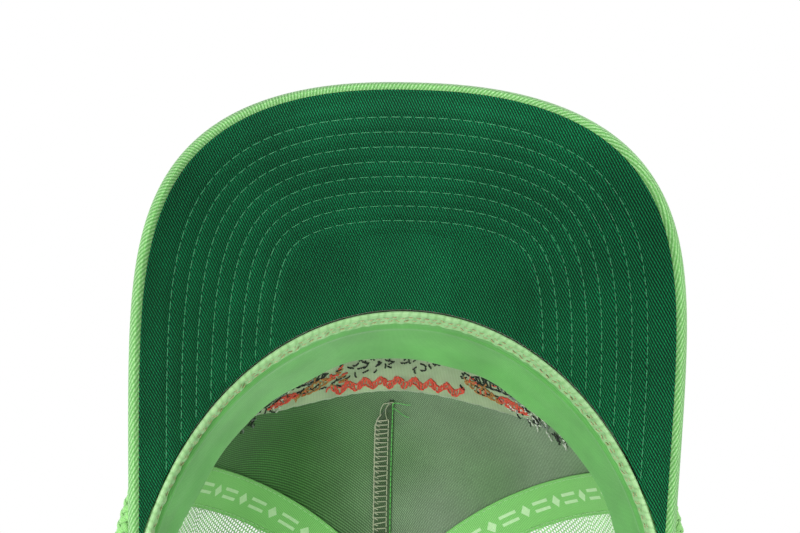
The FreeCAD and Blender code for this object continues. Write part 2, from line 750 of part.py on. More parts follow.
def snap_row(body, name, first_x, count, radius_alias, kind, depth_text):
    """A row of round snaps along X: holes when kind is Pocket, pegs when it is Pad."""
    sketch = new_sketch(body, name + "_circle", "XZ_Plane")
    middle = dim("strap_bottom") + dim("strap_width") / 2.0
    sketch.addGeometry(Part.Circle(Vector(first_x, middle, 0), Vector(0, 0, 1), dim(radius_alias)))
    sketch.addConstraint(Sketcher.Constraint("Radius", 0, dim(radius_alias)))
    sketch.renameConstraint(0, "round")
    bind(sketch, Constraints__round="[%s]" % radius_alias)
    pinned(sketch, 0, 3, "%.2f mm" % first_x, "[strap_bottom] + [strap_width] / 2")
    snap = body.newObject("PartDesign::" + kind, name + "_first")
    snap.Profile = sketch
    if kind == "Pocket":
        snap.Type = 1
        snap.Midplane = True
    else:
        bind(snap, Length=depth_text)
        snap.Reversed = True
    body.Tip = snap
    doc.recompute()
    row = body.newObject("PartDesign::LinearPattern", name + "_row")
    row.Originals = [snap]
    row.Direction = (sketch, ["H_Axis"])
    row.Length = dim("snap_pitch") * (count - 1)
    row.Occurrences = count
    body.Tip = row
    doc.recompute()
    return row


def make_straps():
    """Outer strap with holes, hinged on the wearer's left, and inner strap with pegs, on the right."""
    hinge = dim("strap_hinge")
    pitch = dim("snap_pitch")
    count = 7
    near_gap = 0.9
    corner = 6.0
    plane = dim("strap_plane")
    shift = dim("strap_thickness") / 2.0 + 0.2
    seats = []

    outer = new_body("outer_strap")
    rounded_strap(outer, "outer", hinge - near_gap, -dim("strap_tip"), corner)
    doc.recompute()
    solid_volume = outer.Shape.Volume
    first_hole = dim("snap_offset") - 3 * pitch
    snap_row(outer, "holes", first_hole, count, "hole_radius", "Pocket", None)
    removed = solid_volume - outer.Shape.Volume
    expected = count * math.pi * dim("hole_radius") ** 2 * dim("strap_thickness")
    print("holes removed %.1f of %.1f" % (removed, expected))
    seats.append((subpart(outer, "outer_strap"), moved(Vector(0, plane + shift, 0))))

    inner = new_body("inner_strap")
    rounded_strap(inner, "inner", -hinge + near_gap, dim("inner_strap_tip"), corner)
    doc.recompute()
    solid_volume = inner.Shape.Volume
    first_peg = dim("snap_offset") - 4 * pitch
    peg_reach = "[peg_length] + [strap_thickness] / 2"
    snap_row(inner, "pegs", first_peg, count, "peg_radius", "Pad", peg_reach)
    added = inner.Shape.Volume - solid_volume
    print("pegs added %.1f of %.1f" % (added, count * math.pi * dim("peg_radius") ** 2 * dim("peg_length")))
    seats.append((subpart(inner, "inner_strap"), moved(Vector(0, plane - shift, 0))))

    for hand, side, level in (("outer", 1.0, plane + shift), ("inner", -1.0, plane - shift)):
        tab = feature(hand + "_strap_tab", strap_tab(side, level))
        seats.append((subpart(tab, hand + "_strap_tab"), FreeCAD.Placement()))
    return seats


def strap_tab(side, level):
    """Sewn root of a strap: it runs between panel and sweatband, then bends to the strap's plane."""
    hinge = dim("strap_hinge")
    sewn_end = 54.0
    leave = dim("opening_half_width") - 1.0
    inset = 2.35
    base = dim("strap_bottom")
    centre = []
    for i in range(7):
        x = sewn_end + (leave - sewn_end) * i / 6.0
        turn = math.asin(x / HALF_WIDTH)
        normal = Vector(math.sin(turn) / HALF_WIDTH, math.cos(turn) / BACK, 0).normalize()
        rim = Vector(HALF_WIDTH * math.sin(turn), BACK * math.cos(turn), base)
        centre.append(rim - normal * inset)
    last = centre[-1]
    slope = (centre[-1] - centre[-2]).normalize()
    pull = (last.x - hinge) * 0.55
    bezier = [last, last + slope * pull, Vector(hinge + pull, level, base), Vector(hinge, level, base)]
    for i in range(1, 7):
        t = i / 6.0
        weights = [(1 - t) ** 3, 3 * t * (1 - t) ** 2, 3 * t * t * (1 - t), t ** 3]
        point = Vector()
        for weight, control in zip(weights, bezier):
            point = point + control * weight
        centre.append(point)
    line = Part.BSplineCurve()
    line.interpolate(centre)
    half = dim("strap_thickness") / 2.0
    edges = []
    ends = []
    for offset in (-half, half):
        points = []
        for i in range(25):
            at = line.FirstParameter + (line.LastParameter - line.FirstParameter) * i / 24.0
            along = line.tangent(at)[0]
            points.append(line.value(at) + Vector(-along.y, along.x, 0) * offset)
        curve = Part.BSplineCurve()
        curve.interpolate(points)
        edges.append(curve.toShape())
        ends.append((points[0], points[-1]))
    caps = [Part.makeLine(ends[0][k], ends[1][k]) for k in (0, 1)]
    wire = Part.Wire(Part.__sortEdges__([edges[0], caps[0], edges[1], caps[1]]))
    solid = Part.Face(wire).extrude(Vector(0, 0, dim("strap_width")))
    return solid if side > 0 else across_cap(solid)


def make_care_label():
    """Blank woven label hanging on the sweatband's inner face, beside the rear opening."""
    phi = math.radians(-112.0)
    label = doc.addObject("Part::Box", "care_label")
    label.Length = 30.0
    label.Width = 0.4
    label.Height = 20.0
    seat = band_point(phi, 9.0, dim("band_thickness") + 2.6)
    face = dim("band_thickness")
    up = (band_point(phi, 29.0, face) - band_point(phi, 9.0, face)).normalize()
    along = band_point(phi + 0.05, 9.0, 0.0) - band_point(phi - 0.05, 9.0, 0.0)
    along = (along - up * along.dot(up)).normalize()
    turn = FreeCAD.Rotation(along, up.cross(along), up, "XZY")
    corner = seat - along * 15.0
    return (subpart(label, "care_label"), FreeCAD.Placement(corner, turn))


# ---------------------------------------------------------------- the cap at rest
def rest_placement():
    """Tilt about X and lift that bring the visor's side edges and the rim's back corners to z = 0."""
    lowest_layer = BOARD_BOTTOM - GAP - dim("cover_thickness")
    count = 800
    edge = []
    for i in range(1, count):
        point = outline_point(i / count, dim("cover_wrap"))
        edge.append((point.y, visor_height(point.x, point.y, lowest_layer)))
    half = dim("opening_half_width")
    corner = (BACK + BINDING[1]) * math.sqrt(1.0 - (half / (HALF_WIDTH + BINDING[1])) ** 2)
    rear = [(corner, 0.0)]

    def lowest(points, angle):
        return min(y * math.sin(angle) + z * math.cos(angle) for y, z in points)

    low, high = math.radians(-14.0), 0.0
    for _ in range(50):
        middle = 0.5 * (low + high)
        if lowest(edge, middle) > lowest(rear, middle):
            low = middle
        else:
            high = middle
    angle = 0.5 * (low + high)
    lift = -lowest(rear, angle)
    turn = FreeCAD.Rotation(Vector(1, 0, 0), math.degrees(angle))
    return FreeCAD.Placement(Vector(0, 0, lift), turn)


def main():
    make_visor()
    make_panels()
    make_tapes()
    make_front_details()
    make_band()
    make_bindings()
    make_rope()
    seats = make_buttons()
    seats += make_straps()
    seats.append(make_care_label())
    doc.recompute()

    rest = rest_placement()
    own_seat = {obj.Name: place for obj, place in seats}
    for obj in SUBPARTS:
        obj.Placement = rest.multiply(own_seat.get(obj.Name, obj.Placement))
    doc.recompute()

    ends = []
    for obj in SUBPARTS:
        if obj.Label in ("visor_top_cover", "rear_opening_binding", "outer_strap", "inner_strap"):
            points, _ = obj.Shape.tessellate(0.05)
            ends += [point.y for point in points]
    shift = Vector(0, -0.5 * (min(ends) + max(ends)), 0)
    for obj in SUBPARTS:
        obj.Placement = FreeCAD.Placement(shift, FreeCAD.Rotation()).multiply(obj.Placement)
    doc.recompute()
    print("tilt %.4f deg, lift %.3f, shift %s" % (math.degrees(rest.Rotation.Angle), rest.Base.z, shift))
    whole = FreeCAD.Placement(shift, FreeCAD.Rotation()).multiply(rest)
    report_frame(whole)
    write_parts()


def report_frame(whole):
    hinge = dim("strap_hinge")
    shift = dim("strap_thickness") / 2.0 + 0.2
    middle = dim("strap_bottom") + dim("strap_width") / 2.0
    plane = dim("strap_plane")
    for name, x, y in (("outer", hinge, plane + shift), ("inner", -hinge, plane - shift)):
        print(name, "hinge at", whole.multVec(Vector(x, y, middle)))
    print("rim axis", whole.Rotation.multVec(Vector(0, 0, 1)), "rim centre", whole.multVec(Vector(0, 0, 0)))


def write_parts():
    for obj in doc.Objects:
        if "Invalid" in obj.State or "Error" in obj.State:
            raise RuntimeError("%s failed: %s" % (obj.Name, obj.State))
    os.makedirs("parts", exist_ok=True)
    for obj in SUBPARTS:
        shape = obj.Shape
        if shape.isNull() or not shape.isValid():
            raise RuntimeError("%s has no valid shape" % obj.Label)
        if len(shape.Solids) != 1:
            raise RuntimeError("%s has %d solids" % (obj.Label, len(shape.Solids)))
        shape.exportStep("parts/%s.step" % obj.Label)
        print("%-26s %9.0f mm3" % (obj.Label, shape.Volume))


main()
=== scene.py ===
"""Trucker cap with a mesh crown, a rope trim and a snap closure: its cloth, stitching and materials."""
import math

import bpy
import numpy as np
from mathutils import Matrix, Vector


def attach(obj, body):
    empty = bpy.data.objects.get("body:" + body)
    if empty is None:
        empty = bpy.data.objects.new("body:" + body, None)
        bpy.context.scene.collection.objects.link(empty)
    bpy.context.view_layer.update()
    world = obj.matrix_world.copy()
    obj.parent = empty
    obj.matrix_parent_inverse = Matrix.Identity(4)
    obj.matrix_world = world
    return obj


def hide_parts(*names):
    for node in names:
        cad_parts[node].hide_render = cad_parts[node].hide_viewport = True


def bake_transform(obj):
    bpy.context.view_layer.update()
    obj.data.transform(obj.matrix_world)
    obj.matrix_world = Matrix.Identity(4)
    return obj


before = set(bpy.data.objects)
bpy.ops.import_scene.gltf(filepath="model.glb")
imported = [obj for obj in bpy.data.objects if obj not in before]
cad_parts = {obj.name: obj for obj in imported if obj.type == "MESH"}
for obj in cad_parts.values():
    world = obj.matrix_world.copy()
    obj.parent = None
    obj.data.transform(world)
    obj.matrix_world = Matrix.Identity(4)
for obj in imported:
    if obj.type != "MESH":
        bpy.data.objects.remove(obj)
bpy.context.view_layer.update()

# ---------------------------------------------------------------- frame: design in mm, rest in metres
MM = 0.001
TILT = math.radians(-8.4226)
REST = Matrix.Translation((0.0, 35.31281, 13.02995)) @ Matrix.Rotation(TILT, 4, "X")
REST_TURN = np.array(REST)[:3, :3]
REST_SHIFT = np.array(REST)[:3, 3]


def to_rest(points):
    return (points @ REST_TURN.T + REST_SHIFT) * MM


# ---------------------------------------------------------------- camera, lights and floor
# The camera stands in the design frame, in mm; its angles are in degrees.
CAMERA_TILTS = (((1, 0, 0), 5.392), ((0, 1, 0), 1.956))
CAMERA_ROLL = -1.15
CAMERA_LENS = 91.0
CAMERA_PLACE = Vector((-23.1, -58.5, -604.1))
# Lamps: name, place in m, size in m, power in W. They point at LIT.
LIT = Vector((0.0, 0.0, 0.05))
LAMPS = (("under_key", (-0.45, 0.18, -0.85), 0.5, 7.6), ("under_fill", (0.66, -0.1, -0.70), 0.9, 6.0),
         ("over_key", (0.7, -0.9, 1.3), 0.9, 16.0), ("over_fill", (-1.1, -0.2, 0.9), 1.0, 7.0),
         ("over_back", (0.1, 1.2, 1.0), 1.0, 8.0))
WHITE = (1.0, 1.0, 1.0, 1.0)
FLOOR_HALF, FLOOR_LEVEL = 4.0, -0.0003


def add_object(name, data):
    item = bpy.data.objects.new(name, data)
    bpy.context.scene.collection.objects.link(item)
    return item


def set_inputs(node, values):
    for socket, value in values.items():
        node.inputs[socket].default_value = value


def join_shaders(tree, share, first, second, end):
    """Show first where share is 0 and second where it is 1."""
    mix = tree.nodes.new("ShaderNodeMixShader")
    for socket, source in zip(mix.inputs, (share, first, second)):
        tree.links.new(source, socket)
    tree.links.new(mix.outputs[0], tree.nodes[end].inputs["Surface"])


def make_camera():
    """The view from under the cap, looking up into the crown with the visor at the top."""
    look, up, right = Vector((0, 0, 1)), Vector((0, -1, 0)), Vector((1, 0, 0))
    for axis, angle in CAMERA_TILTS:
        turn = Matrix.Rotation(math.radians(angle), 3, Vector(axis))
        look, up, right = turn @ look, turn @ up, turn @ right
    roll = Matrix.Rotation(math.radians(CAMERA_ROLL), 3, look)
    up, right = roll @ up, roll @ right
    data = bpy.data.cameras.new("camera")
    data.sensor_width = 36.0
    data.lens = CAMERA_LENS
    data.clip_start = 0.01
    camera = add_object("camera", data)
    turn = REST.to_3x3() @ Matrix((right, up, -look)).transposed()
    camera.matrix_world = turn.to_4x4()
    camera.location = REST @ CAMERA_PLACE * MM
    bpy.context.scene.camera = camera


def add_light(name, place, size, power):
    """A round lamp that shines on the cap and isn't seen itself."""
    data = bpy.data.lights.new(name, "AREA")
    data.shape = "DISK"
    data.size = size
    data.energy = power
    light = add_object(name, data)
    light.location = place
    light.rotation_mode = "QUATERNION"
    light.rotation_quaternion = (LIT - Vector(place)).to_track_quat("-Z", "Y")
    light.visible_camera = False


def make_studio():
    """A world that is white to the camera and dimmer as a light, with lamps under and over the cap."""
    scene = bpy.context.scene
    scene.view_settings.view_transform = "Standard"
    world = bpy.data.worlds.new("studio")
    scene.world = world
    world.use_nodes = True
    tree = world.node_tree
    backdrop = tree.nodes["Background"]
    set_inputs(backdrop, {"Color": WHITE, "Strength": 1.0})
    soft = tree.nodes.new("ShaderNodeBackground")
    set_inputs(soft, {"Color": (0.95, 0.98, 1.0, 1.0), "Strength": 0.42})
    path = tree.nodes.new("ShaderNodeLightPath")
    join_shaders(tree, path.outputs["Is Camera Ray"], soft.outputs[0], backdrop.outputs[0], "World Output")
    for lamp in LAMPS:
        add_light(*lamp)


def make_floor():
    """A pale floor that lets the view and the lights from underneath through, and has a painted glow that
    grows with distance so it fades to white far away.
    """
    mesh = bpy.data.meshes.new("floor")
    corners = ((-1, -1), (1, -1), (1, 1), (-1, 1))
    mesh.from_pydata([(x * FLOOR_HALF, y * FLOOR_HALF, FLOOR_LEVEL) for x, y in corners], [], [(0, 1, 2, 3)])
    floor = add_object("floor", mesh)
    material = bpy.data.materials.new("floor")
    material.use_nodes = True
    tree = material.node_tree
    shader = tree.nodes["Principled BSDF"]
    set_inputs(shader, {"Base Color": (0.82, 0.82, 0.81, 1.0), "Roughness": 0.6, "Emission Color": WHITE})
    place = tree.nodes.new("ShaderNodeTexCoord")
    reach = tree.nodes.new("ShaderNodeVectorMath")
    reach.operation = "LENGTH"
    tree.links.new(place.outputs["Object"], reach.inputs[0])
    # painted glow: the floor emits more light the further it lies from the middle
    glow = tree.nodes.new("ShaderNodeMapRange")
    set_inputs(glow, {"From Min": 0.7, "From Max": 2.2, "To Min": 0.0, "To Max": 0.7})
    tree.links.new(reach.outputs["Value"], glow.inputs["Value"])
    tree.links.new(glow.outputs[0], shader.inputs["Emission Strength"])
    clear = tree.nodes.new("ShaderNodeBsdfTransparent")
    geometry = tree.nodes.new("ShaderNodeNewGeometry")
    join_shaders(tree, geometry.outputs["Backfacing"], shader.outputs[0], clear.outputs[0], "Material Output")
    mesh.materials.append(material)
    floor.visible_shadow = False


make_camera()
make_studio()
make_floor()

# ---------------------------------------------------------------- surfaces of the crown and visor, in mm
# The driving dimensions repeat those of part.py. A pair is a layer's inner and outer face, out of the crown.
HALF_WIDTH, FRONT, BACK, HEIGHT = 82.4, 103.5, 100.0, 120.0
RIM_SIDE, RIM_FRONT = 81.3, 102.4
ARCH = 132.4
SLOPE = math.tan(math.radians(20.2))
COVER_TOP = 3.4
BACKING = (0.1, 0.6)
CLOTH = (0.7, 1.7)
MESH = (0.7, 1.6)
TAPE = (-0.85, -0.25)
BINDING = (1.8, 2.4)
TOP_ANGLE = math.radians(87.6)
BAND_HEIGHT = 31.5
BAND_THICKNESS = 1.2
VISOR_HALF, VISOR_ROOT, VISOR_LENGTH = 78.9, -38.0, 128.1
VISOR_ACROSS, VISOR_FORWARD = 2.0 / 2.25, 2.0 / 5.0
BOARD = (0.64, 2.76)
HANDS = (("left", [1, 1, 1]), ("right", [-1, 1, 1]))


def smooth_step(value, low, high):
    t = np.clip((value - low) / (high - low), 0.0, 1.0)
    return t * t * (3.0 - 2.0 * t)


def bump(value, middle, width):
    return np.exp(-(((value - middle) / width) ** 2))


def unit(vectors):
    return vectors / np.linalg.norm(vectors, axis=-1, keepdims=True)


def pairs(first, second):
    """Grid of pairs of numbers."""
    return np.stack(np.broadcast_arrays(first, second), -1)


def visor_height(x, y, layer=0.0):
    return np.sqrt((ARCH + layer) ** 2 - x * x) - ARCH + SLOPE * (y + RIM_FRONT)


def crown(phi, theta):
    phi, theta = np.broadcast_arrays(phi, theta)
    forward = np.cos(phi)
    power = 2.3 - 0.1 * np.maximum(forward, 0) ** 2 - 0.2 * np.maximum(-forward, 0) ** 2
    flat, steep = np.maximum(np.cos(theta), 0), np.maximum(np.sin(theta), 0)
    reach = (flat ** power + steep ** power) ** (-1.0 / power)
    radius = reach * flat
    depth = np.where(forward > 0, FRONT, BACK)
    across = HALF_WIDTH * radius * np.sin(phi)
    return np.stack([across, -depth * radius * forward, HEIGHT * reach * steep], -1)


def crown_normal(phi, theta):
    step = 1e-4
    around = crown(phi + step, theta) - crown(phi - step, theta)
    upward = crown(phi, theta + step) - crown(phi, np.maximum(theta - step, 0.0))
    return unit(np.cross(around, upward))


def on_crown(phi, theta, offset):
    return crown(phi, theta) + crown_normal(phi, theta) * np.asarray(offset)[..., None]


def around_radius(phi, theta):
    step = 1e-3
    return np.linalg.norm(crown(phi + step, theta) - crown(phi - step, theta), axis=-1) / (2 * step)


def theta_at(phi, height):
    phi, height = np.broadcast_arrays(np.asarray(phi, float), np.asarray(height, float))
    low, high = np.zeros(phi.shape), np.full(phi.shape, math.radians(89.0))
    for _ in range(40):
        middle = 0.5 * (low + high)
        under = crown(phi, middle)[..., 2] < height
        low, high = np.where(under, middle, low), np.where(under, high, middle)
    return 0.5 * (low + high)


def place_on(x, z, rear=False):
    """Where the upright plane's point (x, z) lies on the front or rear of the crown, as phi and theta."""
    phi = np.arcsin(np.clip(x / HALF_WIDTH, -0.99, 0.99))
    for _ in range(8):
        turned = math.pi - phi if rear else phi
        theta = theta_at(turned, z)
        wide = crown(turned, theta)[..., 0] / np.maximum(np.abs(np.sin(phi)), 1e-6)
        wide = np.where(np.abs(phi) < 1e-5, HALF_WIDTH, np.abs(wide))
        phi = np.arcsin(np.clip(x / wide, -0.99, 0.99))
    turned = math.pi - phi if rear else phi
    return turned, theta_at(turned, z)


def rim_height(phi):
    fade = 1.0 - smooth_step(np.abs(phi), math.radians(74.0), math.radians(86.0))
    return visor_height(RIM_SIDE * np.sin(phi), np.minimum(-RIM_FRONT * np.cos(phi), 0.0)) * fade


def panel_bottom(phi):
    seat = crown(phi, 0.0)
    fade = 1.0 - smooth_step(np.abs(phi), math.radians(73.0), math.radians(80.0))
    on_visor = visor_height(seat[..., 0], np.minimum(seat[..., 1], 0.0), COVER_TOP) + 0.25
    return 0.8 + (on_visor - 0.8) * fade


def front_seam(theta):
    return np.radians(61.5 - 24.0 * (theta / math.radians(90.0)) ** 2)


def side_seam(theta):
    return np.full(np.shape(theta), math.radians(122.0))


def back_seam(theta):
    return np.full(np.shape(theta), math.pi)


def band_point(phi, height, offset):
    forward = np.cos(phi)
    depth = np.where(forward > 0, FRONT, BACK) * forward
    normal = unit(np.stack([np.sin(phi) / HALF_WIDTH, -forward / FRONT, 0 * phi], -1))
    behind = smooth_step(np.abs(phi), math.radians(92.0), math.radians(125.0))
    lean = 5.5 + 6.0 * np.maximum(forward, 0.0) ** 2 - 2.5 * behind
    inward = 1.1 + 2.3 * behind + lean * height / BAND_HEIGHT + offset
    foot = np.stack([HALF_WIDTH * np.sin(phi), -depth, rim_height(phi) + height], -1)
    return foot - normal * inward[..., None]


# ---------------------------------------------------------------- meshes
class Piece:
    """Collects closed parts of one object; each part has places in mm, faces, a map in mm and a material."""

    def __init__(self):
        self.places, self.faces, self.maps, self.marks = [], [], [], []
        self.count = 0

    def add(self, places, face_sets, plan, mark=0):
        volume = 0.0
        for faces in face_sets:
            first = places[faces[:, 0]]
            for k in range(1, faces.shape[1] - 1):
                area = np.cross(places[faces[:, k]], places[faces[:, k + 1]])
                volume += np.einsum("ij,ij->i", first, area).sum()
        for faces in face_sets:
            self.faces.append((faces if volume > 0 else faces[:, ::-1]) + self.count)
            self.marks.append(np.full(len(faces), mark))
        self.places.append(places)
        self.maps.append(plan)
        self.count += len(places)

    def make(self, name, materials, nodes=(), blend=None):
        places = to_rest(np.concatenate(self.places))
        plan = np.concatenate(self.maps)
        corners = np.concatenate([faces.ravel() for faces in self.faces])
        sizes = np.concatenate([np.full(len(faces), faces.shape[1]) for faces in self.faces])
        mesh = bpy.data.meshes.new(name)
        mesh.vertices.add(len(places))
        mesh.vertices.foreach_set("co", places.astype(np.float32).ravel())
        mesh.loops.add(len(corners))
        mesh.loops.foreach_set("vertex_index", corners.astype(np.int32))
        mesh.polygons.add(len(sizes))
        mesh.polygons.foreach_set("loop_start", np.concatenate([[0], np.cumsum(sizes)[:-1]]).astype(np.int32))
        mesh.update(calc_edges=True)
        mesh.polygons.foreach_set("material_index", np.concatenate(self.marks).astype(np.int32))
        layer = mesh.uv_layers.new(name="weave")
        layer.data.foreach_set("uv", plan[corners].astype(np.float32).ravel())
        mesh.polygons.foreach_set("use_smooth", np.ones(len(sizes), bool))
        for material in materials:
            mesh.materials.append(material)
        mesh.validate()
        piece = add_object(name, mesh)
        if blend:
            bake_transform(piece)
        else:
            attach(piece, "cap")
        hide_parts(*nodes)
        return piece


def grid_faces(index):
    return np.stack([index[:-1, :-1], index[1:, :-1], index[1:, 1:], index[:-1, 1:]], -1).reshape(-1, 4)


def add_shell(piece, inner, outer, plan, mark=0):
    """Closed cloth between two grids of points."""
    rows, columns = outer.shape[:2]
    index = np.arange(rows * columns).reshape(rows, columns)
    loop = np.concatenate([index[0, :-1], index[:-1, -1], index[-1, :0:-1], index[:0:-1, 0]])
    ahead = np.roll(loop, -1)
    under = rows * columns
    sides = np.stack([loop, ahead, ahead + under, loop + under], -1)
    faces = np.concatenate([grid_faces(index), grid_faces(index + under)[:, ::-1], sides])
    places = np.concatenate([outer.reshape(-1, 3), inner.reshape(-1, 3)])
    piece.add(places, [faces], np.tile(plan.reshape(-1, 2), (2, 1)), mark)


def add_sweep(piece, rings, plan, mark=0):
    """Closed tube through rings of points, with flat ends."""
    count, size = rings.shape[:2]
    index = np.arange(count * size).reshape(count, size)
    wrapped = np.concatenate([index, index[:, :1]], axis=1)
    ends = np.stack([index[0], index[-1][::-1]])
    piece.add(rings.reshape(-1, 3), [grid_faces(wrapped)[:, ::-1], ends], plan.reshape(-1, 2), mark)


STATIONS = np.array([0.0, 0.14, 0.5, 0.86, 1.0])
SWELL = np.array([0.35, 0.9, 1.0, 0.9, 0.35])
RISE = np.array([-0.9, 0.3, 0.75, 0.3, -0.9])
THREAD_SIDES = 6


def add_threads(piece, starts, ends, normals, radius, mark=0, rise=1.0):
    """Short threads from start to end that dive into the cloth at both ends."""
    starts, ends = np.asarray(starts, float), np.asarray(ends, float)
    count = len(starts)
    along = ends - starts
    length = np.linalg.norm(along, axis=-1)
    ahead = along / length[:, None]
    side = unit(np.cross(normals, ahead))
    up = np.cross(ahead, side)
    radius = np.broadcast_to(radius, (count,))
    turn = 2 * math.pi * np.arange(THREAD_SIDES) / THREAD_SIDES
    centre = starts[:, None] + along[:, None] * STATIONS[None, :, None]
    centre = centre + up[:, None] * (RISE * rise)[None, :, None] * radius[:, None, None]
    ring = side[:, None] * np.cos(turn)[None, :, None] + up[:, None] * np.sin(turn)[None, :, None]
    places = centre[:, :, None] + ring[:, None] * (SWELL[None, :, None, None] * radius[:, None, None, None])
    stations = len(STATIONS)
    index = np.arange(stations * THREAD_SIDES).reshape(stations, THREAD_SIDES)
    wrapped = np.concatenate([index, index[:, :1]], axis=1)
    one = np.concatenate([grid_faces(wrapped)[:, ::-1],
                          [index[0, [0, 1, 2, 3]], index[0, [0, 3, 4, 5]],
                           index[-1, [3, 2, 1, 0]], index[-1, [5, 4, 3, 0]]]])
    faces = (one[None] + (np.arange(count) * index.size)[:, None, None]).reshape(-1, 4)
    plan = pairs((STATIONS * length[:, None])[..., None], (turn * radius[:, None])[:, None, :])
    piece.add(places.reshape(-1, 3), [faces], plan.reshape(-1, 2), mark)


def along_line(points):
    return np.concatenate([[0.0], np.cumsum(np.linalg.norm(np.diff(points, axis=0), axis=-1))])


def resample(points, distances, lengths):
    return np.stack([np.interp(lengths, distances, points[:, k]) for k in range(points.shape[1])], -1)


def stitch_row(piece, points, normals, pitch, radius, mark=0, gap=0.22, lift=0.0, rise=1.0):
    """A row of stitches along a line of points on the cloth."""
    distances = along_line(points)
    count = int(distances[-1] / pitch)
    if count < 1:
        return
    first = (distances[-1] - count * pitch) / 2 + pitch * (np.arange(count) + gap / 2)
    facing = unit(resample(normals, distances, first + 0.5 * pitch))
    starts = resample(points, distances, first) + facing * lift
    ends = resample(points, distances, first + pitch * (1 - gap)) + facing * lift
    add_threads(piece, starts, ends, facing, radius, mark, rise)


# ---------------------------------------------------------------- materials
class Graph:
    """Small helper that writes a material's node formulas."""

    def __init__(self, name, roughness, sheen=0.0, specular=0.3):
        self.material = bpy.data.materials.new(name)
        self.material.use_nodes = True
        self.nodes = self.material.node_tree.nodes
        self.links = self.material.node_tree.links
        self.shader = self.nodes["Principled BSDF"]
        set_inputs(self.shader, {"Roughness": roughness, "Specular IOR Level": specular,
                                 "Sheen Weight": sheen, "Sheen Roughness": 0.5})
        plan = self.nodes.new("ShaderNodeUVMap")
        plan.uv_map = "weave"
        split = self.nodes.new("ShaderNodeSeparateXYZ")
        self.links.new(plan.outputs[0], split.inputs[0])
        self.u, self.v = split.outputs["X"], split.outputs["Y"]
        place = self.nodes.new("ShaderNodeTexCoord")
        self.place = place.outputs["Object"]

    def put(self, socket, value):
        if isinstance(value, bpy.types.NodeSocket):
            self.links.new(value, socket)
        else:
            socket.default_value = value

    def math(self, operation, a, b=0.0, c=0.0):
        node = self.nodes.new("ShaderNodeMath")
        node.operation = operation
        for socket, value in zip(node.inputs, (a, b, c)):
            self.put(socket, value)
        return node.outputs[0]

    def line(self, across, up, shift=0.0):
        """across * u + up * v + shift"""
        return self.math("MULTIPLY_ADD", self.u, across, self.math("MULTIPLY_ADD", self.v, up, shift))

    def wave(self, phase):
        """0 to 1 and back once for each whole number of phase."""
        turn = self.math("COSINE", self.math("MULTIPLY", phase, 2 * math.pi))
        return self.math("MULTIPLY_ADD", turn, 0.5, 0.5)

    def noise(self, per_metre, detail=2.0, stretch=None):
        node = self.nodes.new("ShaderNodeTexNoise")
        set_inputs(node, {"Scale": per_metre, "Detail": detail})
        source = self.place
        if stretch:
            scale = self.nodes.new("ShaderNodeVectorMath")
            scale.operation = "MULTIPLY"
            scale.inputs[1].default_value = stretch
            self.links.new(source, scale.inputs[0])
            source = scale.outputs[0]
        self.links.new(source, node.inputs["Vector"])
        return node.outputs["Fac"]

    def ramp(self, factor, stops):
        node = self.nodes.new("ShaderNodeValToRGB")
        points = node.color_ramp.elements
        while len(points) < len(stops):
            points.new(0.5)
        for point, (at, colour) in zip(points, stops):
            point.position = at
            point.color = linear(colour)
        self.links.new(factor, node.inputs[0])
        return node.outputs[0]

    def mix(self, factor, a, b, blend="MIX"):
        node = self.nodes.new("ShaderNodeMix")
        node.data_type = "RGBA"
        node.blend_type = blend
        self.put(node.inputs["Factor"], factor)
        self.put(node.inputs["A"], a)
        self.put(node.inputs["B"], b)
        return node.outputs["Result"]

    def colour(self, source):
        self.links.new(source, self.shader.inputs["Base Color"])

    def tint(self, cloth, factor, stops):
        """The cloth's colour times a ramp of tints."""
        return self.mix(1.0, cloth, self.ramp(factor, stops), "MULTIPLY")

    def relief(self, height, depth_mm):
        node = self.nodes.new("ShaderNodeBump")
        set_inputs(node, {"Distance": depth_mm * MM, "Strength": 1.0})
        self.links.new(height, node.inputs["Height"])
        self.links.new(node.outputs[0], self.shader.inputs["Normal"])


def linear(colour):
    """A colour given in 0 to 255 display values, as linear light with alpha."""
    parts = [value / 255.0 for value in colour]
    return tuple(p / 12.92 if p <= 0.04045 else ((p + 0.055) / 1.055) ** 2.4 for p in parts) + (1.0,)


PLAIN = (255, 255, 255)
PLY_PITCH = 0.9


def tone(colour, factor):
    return tuple(min(255.0, value * factor) for value in colour)


